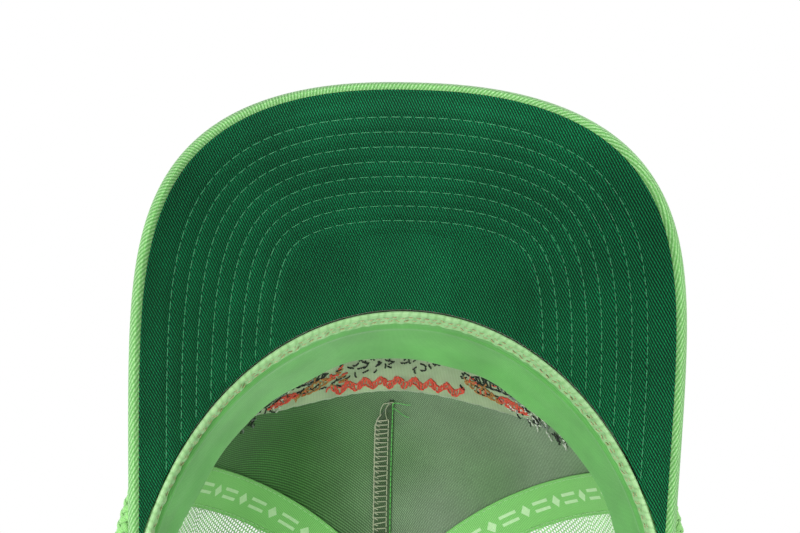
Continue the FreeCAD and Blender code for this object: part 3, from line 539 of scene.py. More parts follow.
def twill(name, dark, body, light, pitch=0.95, angle=60.0, relief=0.14, roughness=0.8, sheen=0.25, drift=0.14,
          patch=None, side=None):
    """Woven cloth with slanting ridges, each made of short floats, coloured by height: painted shade in the
    valleys and painted highlight on the ridges.
    """
    graph = Graph(name, roughness, sheen)
    slant = math.radians(angle)
    wobble = graph.math("MULTIPLY", graph.noise(900.0), 0.35)
    across = graph.math("ADD", graph.line(math.sin(slant) / pitch, -math.cos(slant) / pitch), wobble)
    along = graph.line(math.cos(slant) / (1.7 * pitch), math.sin(slant) / (1.7 * pitch))
    floats = graph.wave(graph.math("MULTIPLY_ADD", across, 0.5, along))
    ridge = graph.wave(across)
    height = graph.math("MULTIPLY", ridge, graph.math("MULTIPLY_ADD", floats, 0.35, 0.65))
    # painted shade and highlight: the colour follows the weave's height, darker in its valleys and lighter on
    # its ridges
    cloth = graph.ramp(height, [(0.0, dark), (0.45, body), (0.95, light)])
    cloth = graph.tint(cloth, graph.noise(45.0, 4.0), [(0.3, tone(PLAIN, 1 - drift)), (0.7, PLAIN)])
    cloth = graph.tint(cloth, graph.noise(2600.0, 3.0), [(0.35, (222, 222, 222)), (0.65, PLAIN)])
    if patch:
        per_metre, tint = patch
        cloth = graph.tint(cloth, graph.noise(per_metre, 1.0), [(0.4, PLAIN), (0.62, tint)])
    # painted shade: side multiplies the cloth by a darker green tint towards low u, fading out by high u, for
    # the side that gets less light
    if side:
        low, high, tint = side
        share = graph.math("MULTIPLY_ADD", graph.line(1.0, 0.0), 1 / (high - low), -low / (high - low))
        cloth = graph.tint(cloth, share, [(0.0, tint), (1.0, PLAIN)])
    graph.colour(cloth)
    graph.relief(height, relief)
    return graph.material


def knit(name, dark, light, pitch=0.9, relief=0.1, drift=0.1, zone=None):
    """Plain woven cloth: crossing rows of small round yarns, coloured by height: painted shade where they dip
    and painted highlight where they cross over.
    """
    graph = Graph(name, 0.85, 0.3)
    wobble = graph.math("MULTIPLY", graph.noise(700.0), 0.3)
    warp = graph.wave(graph.math("ADD", graph.line(1 / pitch, 0.0), wobble))
    weft = graph.wave(graph.math("ADD", graph.line(0.0, 1 / pitch), wobble))
    over = graph.math("MAXIMUM", warp, weft)
    under = graph.math("MULTIPLY", warp, weft)
    height = graph.math("MULTIPLY_ADD", under, 0.4, graph.math("MULTIPLY", over, 0.6))
    # painted shade and highlight: the colour follows the yarns' height
    cloth = graph.ramp(height, [(0.15, dark), (0.85, light)])
    cloth = graph.tint(cloth, graph.noise(60.0, 4.0), [(0.3, tone(PLAIN, 1 - drift)), (0.7, PLAIN)])
    if zone:
        cloth = pale_zone(graph, cloth, *zone)
    graph.colour(cloth)
    graph.relief(height, relief)
    return graph.material


def pale_zone(graph, cloth, low, high, pale):
    """Paler cloth in blotches between two heights of the plan, in mm, with painted shade in wavy stripes for
    its wrinkles.
    """
    wander = graph.math("MULTIPLY", graph.noise(120.0, 3.0), 1.4)
    place = graph.math("ADD", graph.line(0.0, 1.0), wander)
    above = graph.math("GREATER_THAN", place, low)
    inside = graph.math("MULTIPLY", above, graph.math("LESS_THAN", place, high))
    blotch = graph.math("MULTIPLY_ADD", graph.noise(260.0, 4.0), 0.7, 0.3)
    cloth = graph.mix(graph.math("MULTIPLY", inside, blotch), cloth, linear(pale))
    # painted shade: darker wavy stripes stand for the shade in the wrinkles
    painted_fold_shade = graph.wave(graph.math("MULTIPLY_ADD", graph.noise(200.0, 3.0), 1.6, graph.line(1 / 2.6, 0.12)))
    shaded = graph.tint(cloth, painted_fold_shade, [(0.0, (186, 208, 174)), (0.5, PLAIN)])
    return graph.mix(graph.math("MULTIPLY", inside, 0.45), cloth, shaded)


def thread(name, dark, light, sheen=0.2):
    """Twisted thread with a soft gloss, darker in the grooves between its plies as painted shade."""
    graph = Graph(name, 0.45, sheen, 0.5)
    ply = graph.wave(graph.line(1 / PLY_PITCH, 2.2))
    grain = graph.math("MULTIPLY_ADD", graph.noise(1500.0), 0.3, graph.math("MULTIPLY", ply, 0.7))
    # painted shade: the ply stripes darken the thread in its twist grooves
    graph.colour(graph.ramp(grain, [(0.1, dark), (0.75, light)]))
    graph.relief(ply, 0.08)
    return graph.material


def plastic(name, body, roughness=0.38):
    """Moulded plastic with a fine grain and slight mottling."""
    graph = Graph(name, roughness, 0.0, 0.5)
    set_inputs(graph.shader, {"Subsurface Weight": 0.08, "Subsurface Radius": (0.002, 0.003, 0.002),
                              "Subsurface Scale": 0.5})
    grain = graph.noise(900.0, 5.0)
    graph.colour(graph.ramp(graph.noise(70.0, 3.0), [(0.3, tone(body, 0.93)), (0.7, body)]))
    gloss = graph.math("MULTIPLY_ADD", grain, 0.2, roughness - 0.1)
    graph.links.new(gloss, graph.shader.inputs["Roughness"])
    graph.relief(grain, 0.05)
    return graph.material


def metal(name):
    """Stamped metal with fine scuffs."""
    graph = Graph(name, 0.35, 0.0, 0.5)
    set_inputs(graph.shader, {"Metallic": 1.0})
    scuffs = graph.noise(500.0, 6.0, (1.0, 1.0, 0.15))
    graph.colour(graph.ramp(scuffs, [(0.3, (150, 152, 150)), (0.7, (196, 198, 194))]))
    graph.relief(scuffs, 0.02)
    return graph.material


lime_twill = twill("lime_twill", (108, 178, 92), (146, 210, 128), (186, 236, 168), drift=0.07)
green_twill = twill("green_twill", (0, 28, 16), (0, 91, 54), (8, 160, 98), pitch=0.68, relief=0.2,
                    roughness=0.95, sheen=0.0)
# the backing's side ramp is painted shade: darker and greener towards one side
buckram_twill = twill("buckram_twill", (92, 112, 88), (144, 164, 138), (188, 204, 182), pitch=0.66,
                      relief=0.1, angle=50.0, drift=0.12, patch=(16.0, (206, 236, 198)),
                      side=(-34.0, 18.0, (146, 204, 134)))
# on the sweatband the drift's soft darker blotches are painted shade for the band's waves
band_cloth = knit("sweatband_cloth", (96, 178, 84), (128, 200, 114), pitch=0.42, relief=0.03, drift=0.13,
                  zone=(31.4, 38.6, (196, 228, 178)))
# painted shade: a darker copy of the backing twill for the dart's fold, standing for the shade in and beside
# it
dart_shaded_cloth = twill("dart_shaded_cloth", (52, 74, 46), (82, 108, 74), (108, 134, 98), pitch=0.62, relief=0.08,
                   drift=0.2)
foam_cloth = knit("foam_sheet", (196, 208, 186), (226, 232, 214), pitch=0.7)
lime_thread = thread("lime_thread", (120, 190, 104), (196, 240, 180))
green_thread = thread("undervisor_thread", (16, 106, 66), (74, 176, 122))
cream_thread = thread("cream_thread", (170, 168, 142), (222, 220, 198))
tan_thread = thread("tan_thread", (150, 146, 90), (214, 208, 158))
bright_thread = thread("bright_thread", (60, 170, 70), (120, 220, 110))
black_thread = thread("black_thread", (4, 8, 8), (34, 40, 38), sheen=0.03)
red_thread = thread("red_thread", (206, 34, 24), (250, 92, 66))
orange_thread = thread("orange_thread", (140, 84, 26), (206, 140, 66))
white_thread = thread("white_thread", (186, 190, 180), (236, 238, 230))
grey_thread = thread("grey_thread", (90, 98, 96), (140, 148, 144))
embroidery_threads = [black_thread, red_thread, orange_thread, white_thread, grey_thread]
stabiliser_cloth = knit("stabiliser_cloth", (160, 178, 142), (198, 210, 178), pitch=0.5, relief=0.04,
                        drift=0.2)
net_cord = knit("net_cord", (158, 220, 140), (196, 242, 180), pitch=0.4, relief=0.04)
strap_plastic = plastic("strap_plastic", (150, 214, 132))
board_plastic = plastic("board_plastic", (214, 216, 206), 0.5)
button_metal = metal("button_metal")
label_cloth = knit("label_cloth", (206, 210, 200), (238, 240, 232), pitch=0.35, relief=0.04, drift=0.05)


def printed_tape(name):
    """Seam tape with a pale print of dashes and diamonds down its middle, and painted shade in the grooves of
    its ribs.
    """
    graph = Graph(name, 0.6, 0.2, 0.4)
    rib = graph.wave(graph.line(0.0, 1 / 0.7))
    # painted shade: the rib stripes darken the tape in the grooves between ribs
    base = graph.ramp(rib, [(0.1, (112, 186, 92)), (0.8, (150, 214, 130))])
    repeat = 17.0
    part = graph.math("FRACT", graph.line(0.0, 1 / repeat))
    step = graph.math("ABSOLUTE", graph.math("SUBTRACT", part, 0.5))
    side = graph.math("ABSOLUTE", graph.u)
    diamond = graph.math("LESS_THAN", graph.math("MULTIPLY_ADD", step, repeat, side), 2.3)
    ends = graph.math("GREATER_THAN", step, 0.26)
    bar = graph.math("LESS_THAN", graph.math("ABSOLUTE", graph.math("SUBTRACT", side, 1.4)), 0.55)
    print_mask = graph.math("MAXIMUM", diamond, graph.math("MULTIPLY", ends, bar))
    worn = graph.math("MULTIPLY", print_mask, graph.math("MULTIPLY_ADD", graph.noise(1200.0), 0.5, 0.55))
    graph.colour(graph.mix(worn, base, linear((214, 240, 200))))
    graph.relief(rib, 0.08)
    return graph.material


tape_cloth = printed_tape("printed_tape")

# ---------------------------------------------------------------- visor
VISOR_END = -31.0
ROW_FIRST, ROW_PITCH, ROW_COUNT = 8.5, 4.17, 8
ROWS = ROW_FIRST + ROW_PITCH * np.arange(ROW_COUNT)
STITCH = 3.5


def visor_edge(count, extra):
    """Evenly spaced points along the visor's outline in plan, with their outward normals."""
    ease = np.linspace(-1.0, 1.0, 8001)
    turn = 0.5 * math.pi * np.sin(0.5 * math.pi * ease)
    x = (VISOR_HALF + extra) * np.sign(turn) * np.abs(np.sin(turn)) ** VISOR_ACROSS
    y = VISOR_ROOT - (VISOR_LENGTH + extra) * np.abs(np.cos(turn)) ** VISOR_FORWARD
    y[0] = y[-1] = VISOR_END
    x[0], x[-1] = x[1], x[-2]
    line = np.stack([x, y], -1)
    distances = along_line(line)
    even = np.linspace(0, distances[-1], count)
    points = resample(line, distances, even)
    slopes = np.gradient(points, axis=0)
    slopes[0] = slopes[-1] * [1, -1]
    slopes = unit(slopes)
    return points, np.stack([slopes[:, 1], -slopes[:, 0]], -1), even


def reach_in(points, inward, extra=0.2):
    """How far each inward ray runs before it meets the crown's rim."""
    a, b = RIM_SIDE + extra, RIM_FRONT + extra
    px, py = points[:, 0] / a, points[:, 1] / b
    dx, dy = inward[:, 0] / a, inward[:, 1] / b
    k2, k1, k0 = dx * dx + dy * dy, px * dx + py * dy, px * px + py * py - 1
    return (-k1 - np.sqrt(np.maximum(k1 * k1 - k2 * k0, 0.0))) / k2


def on_visor(flat, layer):
    return np.concatenate([flat, visor_height(flat[..., 0], flat[..., 1], layer)[..., None]], -1)


def visor_normal(flat):
    x = flat[..., 0]
    slope = -x / np.sqrt(ARCH ** 2 - x * x)
    return unit(np.stack([-slope, np.full(x.shape, -SLOPE), np.ones(x.shape)], -1))


def row_relief(distance, arc, groove, pillow):
    """Cloth pulled in along the rows of stitches, more so at each needle hole, and full between them."""
    pull = 0.75 + 0.25 * np.cos(2 * math.pi * arc / STITCH)
    depth = sum(bump(distance, row, 0.55) for row in ROWS)
    fullness = np.sin(math.pi * np.clip((distance - ROWS[0]) / ROW_PITCH, -1, ROW_COUNT)) ** 2
    return pillow * fullness - groove * pull * depth


STRAIGHT = 39.2
LIP = 0.95


def ray_grid(count, rows, extra):
    """Plan grid of the visor: lines run straight in from the edge past the last row, then fan to the rim."""
    points, outward, arc = visor_edge(count, extra)
    reach = reach_in(points, -outward)
    straight = np.minimum(reach, STRAIGHT)
    knee = points - outward * straight[:, None]
    a, b = RIM_SIDE + 0.2, RIM_FRONT + 0.2
    end = points - outward * reach[:, None]
    turn = np.arctan2(end[:, 0] / a, -end[:, 1] / b)
    long = np.flatnonzero(reach > STRAIGHT)
    first, last = long[0], long[-1]
    run = along_line(knee[first:last + 1])
    turn[first:last + 1] = turn[first] + (turn[last] - turn[first]) * run / run[-1]
    end = np.stack([a * np.sin(turn), -b * np.cos(turn)], -1)
    rest = np.linalg.norm(end - knee, axis=-1)
    distance = (straight + rest)[:, None] * np.linspace(0.0, 1.0, rows)[None, :]
    near = np.minimum(distance, straight[:, None])
    share = (distance - near) / np.maximum(rest, 1e-9)[:, None]
    flat = points[:, None] - outward[:, None] * near[..., None] + (end - knee)[:, None] * share[..., None]
    return flat, distance, np.broadcast_to(arc[:, None], distance.shape), outward


def row_lines(extra):
    """The stitching rows as plan lines, cut where they run under the crown."""
    points, outward, _ = visor_edge(1500, extra)
    reach = reach_in(points, -outward)
    lines = []
    for row in ROWS:
        keep = np.flatnonzero(reach > row + 0.4)
        if len(keep):
            flat = points - outward * row
            lines.append(flat[keep[0]:keep[-1] + 1])
    return lines


def edge_lean(distance):
    """1 at the visor's edge, where the layers stand square to the board, and 0 further in."""
    return 1.0 - smooth_step(distance, 1.0, 16.0)


def make_undervisor():
    flat, distance, arc, _ = ray_grid(330, 130, -LIP)
    distance = distance + LIP
    relief = row_relief(distance, arc, 0.34, 0.16) - 0.1 * bump(distance, 4.0, 2.0)
    relief = relief + 0.14 * bump(distance, LIP + 0.3, 0.8)
    below = on_visor(flat, 0.0) - visor_normal(flat) * relief[..., None]
    piece = Piece()
    add_shell(piece, on_visor(flat, 0.48), below, flat)
    for line in row_lines(-0.1):
        stitch_row(piece, on_visor(line, 0.0), -visor_normal(line), STITCH, 0.15, 1, gap=0.12, lift=-0.22)
    piece.make("undervisor_cover_cloth", [green_twill, green_thread], ["undervisor_cover"])


def leaning(flat, layer, lean):
    """Place layer mm above a plan point, along the visor's normal where lean is 1, straight up at 0."""
    normal = visor_normal(flat)
    moved = flat + normal[..., :2] * (np.asarray(layer) * lean)[..., None]
    return on_visor(moved, layer)


def make_visor_cover():
    """Top cloth, wrapped round the edge of the visor to a narrow lip underneath."""
    flat, distance, arc, outward = ray_grid(330, 112, 0.0)
    edge = flat[:, 0]
    angle = np.linspace(-0.5 * math.pi, 0.5 * math.pi, 13)

    def section(inset):
        """Outline of the wrapped edge, inset mm inside the outer face: places out and up."""
        out = 0.1 + (0.62 - inset) * np.cos(angle) ** 0.7
        layer = 1.7 + (1.7 - inset) * np.sin(angle)
        lip = [0.3 + inset * 0.6, 0.06 + inset]
        return np.concatenate([[-1.35, -1.1], out]), np.concatenate([lip, layer])

    def wrapped(inset, relief):
        out, layer = section(inset)
        lines = leaning(edge[:, None] + outward[:, None] * out[:, None], layer, 1.0)
        top = leaning(flat, COVER_TOP - inset, edge_lean(distance)) + visor_normal(flat) * relief
        return np.concatenate([lines, top[:, 1:]], 1)

    out, layer = section(0.0)
    unrolled = np.concatenate([[0.0], np.cumsum(np.hypot(np.diff(out), np.diff(layer)))])
    back = unrolled[-1] - unrolled
    plan = np.concatenate([edge[:, None] + outward[:, None] * back[:, None], flat[:, 1:]], 1)
    piece = Piece()
    add_shell(piece, wrapped(0.45, 0.0), wrapped(0.0, row_relief(distance, arc, 0.3, 0.14)[..., None]), plan)
    for line, row in zip(row_lines(0.0), ROWS):
        places = leaning(line, COVER_TOP, edge_lean(row))
        stitch_row(piece, places, visor_normal(line), STITCH, 0.2, 1, lift=-0.12)
    piece.make("visor_top_cover_cloth", [lime_twill, lime_thread], ["visor_top_cover"])


def make_visor_board():
    """Stiff core between the two covers."""
    flat, distance, _, _ = ray_grid(240, 30, -1.0)
    crumb = 0.02 * np.sin(flat[..., 0] * 0.7) * np.sin(flat[..., 1] * 0.9)
    under, over = (leaning(flat, layer + crumb, edge_lean(distance)) for layer in BOARD)
    piece = Piece()
    add_shell(piece, under, over, flat)
    piece.make("visor_board_core", [board_plastic], ["visor_board"])


# ---------------------------------------------------------------- sweatband
BAND_ROWS, BAND_STITCH = (2.5, 4.9), 2.6
BAND_END, FOAM_END = math.radians(147.0), math.radians(118.0)
FOAM_HEIGHTS = (8.0, 27.5)


def band_relief(arc, height):
    """How far the band's inner face stands in: piped edge, gathered stitch rows, a crease, soft waves."""
    pucker = (np.sin(arc * 1.23 + 0.6 * np.sin(arc * 0.21)) + 0.7 * np.sin(arc * 1.81 + 1.3)
              + 0.6 * np.sin(arc * 0.77 + 2.1 + 0.8 * np.sin(arc * 0.13)))
    relief = 0.42 * bump(height, 0.9, 0.9)
    for row in BAND_ROWS:
        pull = 0.7 + 0.3 * np.cos(2 * math.pi * arc / BAND_STITCH)
        relief = relief - 0.5 * bump(height, row, 0.42) * pull
    relief = relief + 0.25 * pucker * bump(height, 3.6, 2.6)
    crease = 0.5 + 0.5 * np.sin(arc * 0.045 + 0.8)
    relief = relief - 1.1 * crease * bump(height, 7.4 + 0.8 * np.sin(arc * 0.03), 0.55)
    relief = relief + 0.4 * bump(height, 9.0, 1.3)
    waves = 0.5 * np.sin(arc * 0.13 + 1.0) + 0.3 * np.sin(arc * 0.217 + 2.0) + 0.2 * np.sin(arc * 0.07)
    relief = relief + 0.7 * waves * smooth_step(height, 7.0, 20.0)
    return relief + 0.5 * (1 + np.sin(arc * 0.051 + 0.4)) * smooth_step(height, 20.0, BAND_HEIGHT)


def make_sweatband():
    phi = np.linspace(-BAND_END, BAND_END, 700)
    arc = along_line(band_point(phi, 0.0, 0.0))
    turn = np.linspace(0.0, math.pi, 7)[1:-1]
    round_off = 0.5 * BAND_THICKNESS
    up = np.linspace(round_off, BAND_HEIGHT - round_off, 54)
    heights = np.concatenate([up[::-1], round_off * (1 - np.sin(turn)), up,
                              BAND_HEIGHT - round_off * (1 - np.sin(turn))])
    offsets = np.concatenate([0 * up, round_off * (1 - np.cos(turn)), 0 * up + BAND_THICKNESS,
                              round_off * (1 + np.cos(turn))])
    inner = smooth_step(offsets, 0.2, BAND_THICKNESS - 0.1)
    lines = [band_point(phi, height, offset + share * band_relief(arc, height))
             for height, offset, share in zip(heights, offsets, inner)]
    run = along_line(np.stack([heights, offsets], -1))
    piece = Piece()
    add_sweep(piece, np.stack(lines, 1), pairs(arc[:, None], run))
    for row in BAND_ROWS:
        shift = BAND_THICKNESS + band_relief(arc, row)
        line = band_point(phi, row, shift)
        facing = band_point(phi, row, shift + 1.0) - line
        stitch_row(piece, line, unit(facing), BAND_STITCH, 0.24, 1, gap=0.3, lift=0.14)
    piece.make("sweatband_cloth", [band_cloth, tan_thread], ["sweatband"])


def make_foam():
    """Thin foam strip between the sweatband and the front panel."""
    phi = np.linspace(-FOAM_END, FOAM_END, 260)
    arc = along_line(band_point(phi, 0.0, 0.0))
    low, high = FOAM_HEIGHTS
    heights = np.linspace(low, high, 24)
    swell = np.sin(math.pi * (heights - low) / (high - low)) ** 0.5
    quilt = 0.5 + 0.5 * np.cos(2 * math.pi * arc / 24.0)

    def face(offset, stand):
        lines = [band_point(phi, height, offset + stand * full * (0.5 + 0.5 * quilt))
                 for height, full in zip(heights, swell)]
        return np.stack(lines, 1)

    piece = Piece()
    add_shell(piece, face(-0.6, -0.3), face(-0.5, 0.28), pairs(arc[:, None], heights))
    strip = piece.make("sweatband_foam_strip", [foam_cloth], ["sweatband_foam"])


# ---------------------------------------------------------------- crown cloth
SEAM_GAP = 0.1


class Chart:
    """Map of a sector of the crown between two seams: mm across from its middle line and mm up along it."""

    def __init__(self, left, right):
        self.theta = np.linspace(0.0, math.radians(88.5), 600)
        self.left, self.right = left, right
        self.middle = 0.5 * (left(self.theta) + right(self.theta))
        self.run = along_line(crown(self.middle, self.theta))
        self.radius = around_radius(self.middle, self.theta)
        self.half = 0.5 * (right(self.theta) - left(self.theta)) * self.radius

    def plan(self, phi, theta):
        middle = np.interp(theta, self.theta, self.middle)
        across = (phi - middle) * np.interp(theta, self.theta, self.radius)
        return pairs(across, np.interp(theta, self.theta, self.run))


def seam_dip(distance):
    """Cloth rolls down into a seam and is slightly full beside it."""
    return -0.75 * np.exp(-((distance / 0.7) ** 2)) + 0.18 * bump(distance, 2.6, 1.6)


def mirrored(seam):
    """The same seam on the wearer's right."""
    def other(theta):
        return -seam(theta)
    return other


mirrored_front = mirrored(front_seam)


def front_grid(bottom, columns, rows):
    """phi and theta over the front panel, with the distance in mm to its nearer seam."""
    share = np.linspace(0.0, 1.0, columns)
    rim = mirrored_front(0.0) + (front_seam(0.0) - mirrored_front(0.0)) * share
    start = theta_at(rim, bottom(rim))
    theta = start[:, None] + (TOP_ANGLE - start[:, None]) * np.linspace(0, 1, rows)
    left, right = mirrored_front(theta), front_seam(theta)
    radius = around_radius(0.5 * (left + right), theta)
    low, high = left + SEAM_GAP / radius, right - SEAM_GAP / radius
    phi = low + (high - low) * share[:, None]
    return phi, theta, np.minimum(phi - left, right - phi) * radius


def cloth_waves(places, size):
    """Slow unevenness of stiffened cloth."""
    x, y, z = places[..., 0], places[..., 1], places[..., 2]
    return size * (np.sin(0.061 * x + 0.9) * np.sin(0.083 * z + 0.3) + 0.5 * np.sin(0.17 * x - 0.11 * z)
                   + 0.3 * np.sin(0.11 * y + 0.19 * z))


def make_front_panel():
    """Outer cloth of the front and the stiff backing inside it."""
    chart = Chart(mirrored_front, front_seam)
    phi, theta, distance = front_grid(panel_bottom, 181, 161)
    wave = cloth_waves(crown(phi, theta), 0.12)
    dip = seam_dip(distance) * smooth_step(theta, 0.0, 0.08)
    piece = Piece()
    add_shell(piece, on_crown(phi, theta, CLOTH[0]), on_crown(phi, theta, CLOTH[1] + dip + wave),
              chart.plan(phi, theta))
    theta = np.linspace(float(theta_at(math.radians(61.0), 8.0)), math.radians(84), 260)
    for seam, side in ((front_seam, -3.2), (mirrored_front, 3.2)):
        phi = seam(theta)
        phi = phi + side / np.maximum(around_radius(phi, theta), abs(side) * 1.3)
        stitch_row(piece, on_crown(phi, theta, CLOTH[1] + 0.12), crown_normal(phi, theta), 2.6, 0.2, 1)
    piece.make("front_panel_cloth", [lime_twill, lime_thread], ["front_panel"])

    def lined(at):
        return panel_bottom(at) + 0.4

    phi, theta, _ = front_grid(lined, 161, 141)
    wave = cloth_waves(crown(phi, theta), 0.1)
    piece = Piece()
    add_shell(piece, on_crown(phi, theta, BACKING[0] - np.abs(wave)), on_crown(phi, theta, BACKING[1]),
              chart.plan(phi, theta))
    piece.make("front_panel_buckram", [buckram_twill], ["front_panel_backing"])


make_undervisor()
make_visor_cover()
make_visor_board()
make_sweatband()
make_foam()
make_front_panel()


# ---------------------------------------------------------------- seam tapes and dart
DART_PHI = math.radians(-1.2)
DART_RUNG = 2.05
DART_TAILS = (((0.4, 0.1), (-2.6, -3.2), (-4.6, 2.0), (-4.0, 7.0)),
              ((0.4, 0.6), (2.2, -1.6), (4.2, 1.4), (6.4, 0.6)),
              ((-0.6, 1.0), (-2.2, 0.4), (-2.8, 4.2), (-1.6, 8.6)),
              ((0.3, 3.0), (2.4, 3.4), (3.4, 6.4), (6.0, 7.2)))


def seam_strip(seam, low, wide, share):
    """phi and theta of a strip along a seam at the distances wide, narrowed near the top to share degrees."""
    theta = np.linspace(low, TOP_ANGLE, 220)[:, None]
    radius = around_radius(seam(theta), theta)
    limit = radius * math.tan(math.radians(share))
    size = np.abs(wide)[None, :]
    narrowed = 0.5 * (size + limit - np.sqrt((size - limit) ** 2 + 1.0))
    phi = seam(theta) + np.sign(wide)[None, :] * narrowed / radius
    arc = along_line(crown(seam(theta[:, 0]), theta[:, 0]))
    return phi, np.broadcast_to(theta, phi.shape), np.broadcast_to(arc[:, None], phi.shape)


def bezier(corners, count):
    """Points of the smooth curve from the first corner to the last that the two others pull."""
    at = np.linspace(0.0, 1.0, count)[:, None]
    a, b, c, d = np.array(corners)
    return a * (1 - at) ** 3 + 3 * b * at * (1 - at) ** 2 + 3 * c * at * at * (1 - at) + d * at ** 3


def make_tapes():
    half = 7.3
    wide = np.linspace(-half, half, 31)
    start = float(theta_at(math.radians(60.0), 6.0))
    arch_top = float(theta_at(math.pi, 64.0))
    tapes = (("front_seam_tape_left", front_seam, start, 34.0),
             ("side_seam_tape_left", side_seam, start, 27.0),
             ("front_seam_tape_right", mirrored_front, start, 34.0),
             ("side_seam_tape_right", mirrored(side_seam), start, 27.0),
             ("center_back_seam_tape", back_seam, arch_top, 27.0))
    for order, (name, seam, low, share) in enumerate(tapes):
        phi, theta, arc = seam_strip(seam, low, wide, share)
        relief = 0.42 * bump(wide, 0.0, 3.4) - 0.16 * bump(np.abs(wide), 6.1, 0.4)
        relief = relief + 0.1 * bump(np.abs(wide), 7.0, 0.5)
        ripple = 0.1 * np.sin(arc * 0.37 + order) * (np.abs(wide) / half) ** 2
        piece = Piece()
        add_shell(piece, on_crown(phi, theta, TAPE[0] - relief - ripple), on_crown(phi, theta, TAPE[1]),
                  pairs(wide, arc + 5.0 * order))
        for column in (2, 28):
            at, up = phi[:, column], theta[:, column]
            line = on_crown(at, up, TAPE[0] - ripple[:, column] + 0.02)
            stitch_row(piece, line, -crown_normal(at, up), 2.7, 0.19, 1)
        piece.make(name + "_cloth", [tape_cloth, lime_thread], [name])


def make_dart():
    """Folded allowance of the dart inside the front panel, with its overlock threads and loose tails."""
    low, high = float(theta_at(0.0, 84.5)), math.radians(79.0)
    share = np.linspace(0.0, 1.0, 15)
    theta = np.linspace(low, high, 160)
    radius = around_radius(DART_PHI, theta)
    arc = along_line(crown(DART_PHI, theta))
    width = 1.0 + 4.2 * smooth_step(arc, 0.0, 12.0) + 0.12 * np.sin(arc * 1.7)
    across = 0.5 - (0.5 + width)[:, None] * share
    phi = DART_PHI + across / radius[:, None]
    both = np.broadcast_to(theta[:, None], phi.shape)
    fold = 0.5 * bump(share, 0.92, 0.1) + 0.14 * np.sin(arc * 1.9)[:, None] * bump(share, 0.5, 0.3)
    face = -0.85 - fold - 0.1 * np.sin(arc * 0.6)[:, None] * share
    piece = Piece()
    add_shell(piece, on_crown(phi, both, face), on_crown(phi, both, -0.25), pairs(across, arc[:, None]))

    def spot(distance, position, offset):
        """A place beside the dart and the crown's normal there."""
        at = np.interp(distance, arc, theta)
        turned = DART_PHI + position / np.interp(distance, arc, radius)
        return on_crown(turned, at, offset), crown_normal(turned, at)

    steps = np.arange(9.0, arc[-1] - 1.0, DART_RUNG)
    wide = np.interp(steps, arc, width)
    jitter = 0.22 * np.sin(steps * 5.1)
    left, normal = spot(steps + jitter, -wide - 0.35, -1.15)
    right, _ = spot(steps + 0.25 - jitter, -1.1, -1.2)
    wrap, _ = spot(steps + 1.1, -wide + 1.2, -1.35)
    ahead, _ = spot(steps + DART_RUNG, -1.1, -1.2)
    for start, end, thickness in ((left, right, 0.2), (left, wrap, 0.17), (right, ahead, 0.18)):
        add_threads(piece, start, end, -normal, thickness, 1)
    edge = np.arange(6.0, arc[-1] - 1.0, 0.6)
    rim, normal = spot(edge, -np.interp(edge, arc, width) - 0.5, -0.9)
    stitch_row(piece, rim, -normal, 1.45, 0.22, 1, gap=0.02)
    seam, normal = spot(np.arange(-1.0, arc[-1], 0.5), 0.25, -1.0)
    stitch_row(piece, seam, -normal, 2.1, 0.21, 2, gap=0.1)
    for order, corners in enumerate(DART_TAILS):
        flat = bezier(corners, 40)
        sag = 0.4 * np.sin(math.pi * np.linspace(0.0, 1.0, 40))
        tail, _ = spot(np.maximum(flat[:, 1], 0.0) + 0.3, flat[:, 0], -1.1 - sag)
        add_cord(piece, tail, 0.13, 1 + (order % 2))
    # the fold's darker cloth is painted shade
    piece.make("front_dart_overlock", [dart_shaded_cloth, cream_thread, bright_thread],
               ["front_dart_seam"])


def add_cord(piece, centre, radius, mark):
    """Six-sided cord along a line of points."""
    slopes = unit(np.gradient(centre, axis=0))
    side = unit(np.cross(slopes, np.array([0.31, 0.2, 0.93])))
    up = np.cross(slopes, side)
    turn = 2 * math.pi * np.arange(6) / 6
    ring = side[:, None] * np.cos(turn)[:, None] + up[:, None] * np.sin(turn)[:, None]
    add_sweep(piece, centre[:, None] + ring * radius, pairs(along_line(centre)[:, None], turn * radius), mark)


# ---------------------------------------------------------------- embroidery
THREADS = {"black": 1, "red": 2, "orange": 3, "white": 4, "grey": 5}
REVERSE = -0.86
# Peaks: middle, half width, height, thread. Leaves: stem point, length, half width, angle, thread.
PEAKS = ((-15.0, 10.0, 12.0, "black"), (15.0, 10.0, 11.0, "black"), (0.0, 11.0, 9.0, "grey"))
LEAVES = ((22.0, 67.0, 13.0, 2.2, 4.0, "orange"), (24.0, 63.5, 15.0, 2.0, -16.0, "black"),
          (33.5, 66.5, 11.0, 1.9, -22.0, "red"), (37.0, 61.0, 12.0, 1.8, -44.0, "grey"),
          (30.0, 58.0, 12.0, 2.0, -34.0, "orange"), (40.0, 55.0, 9.0, 1.6, -62.0, "black"))


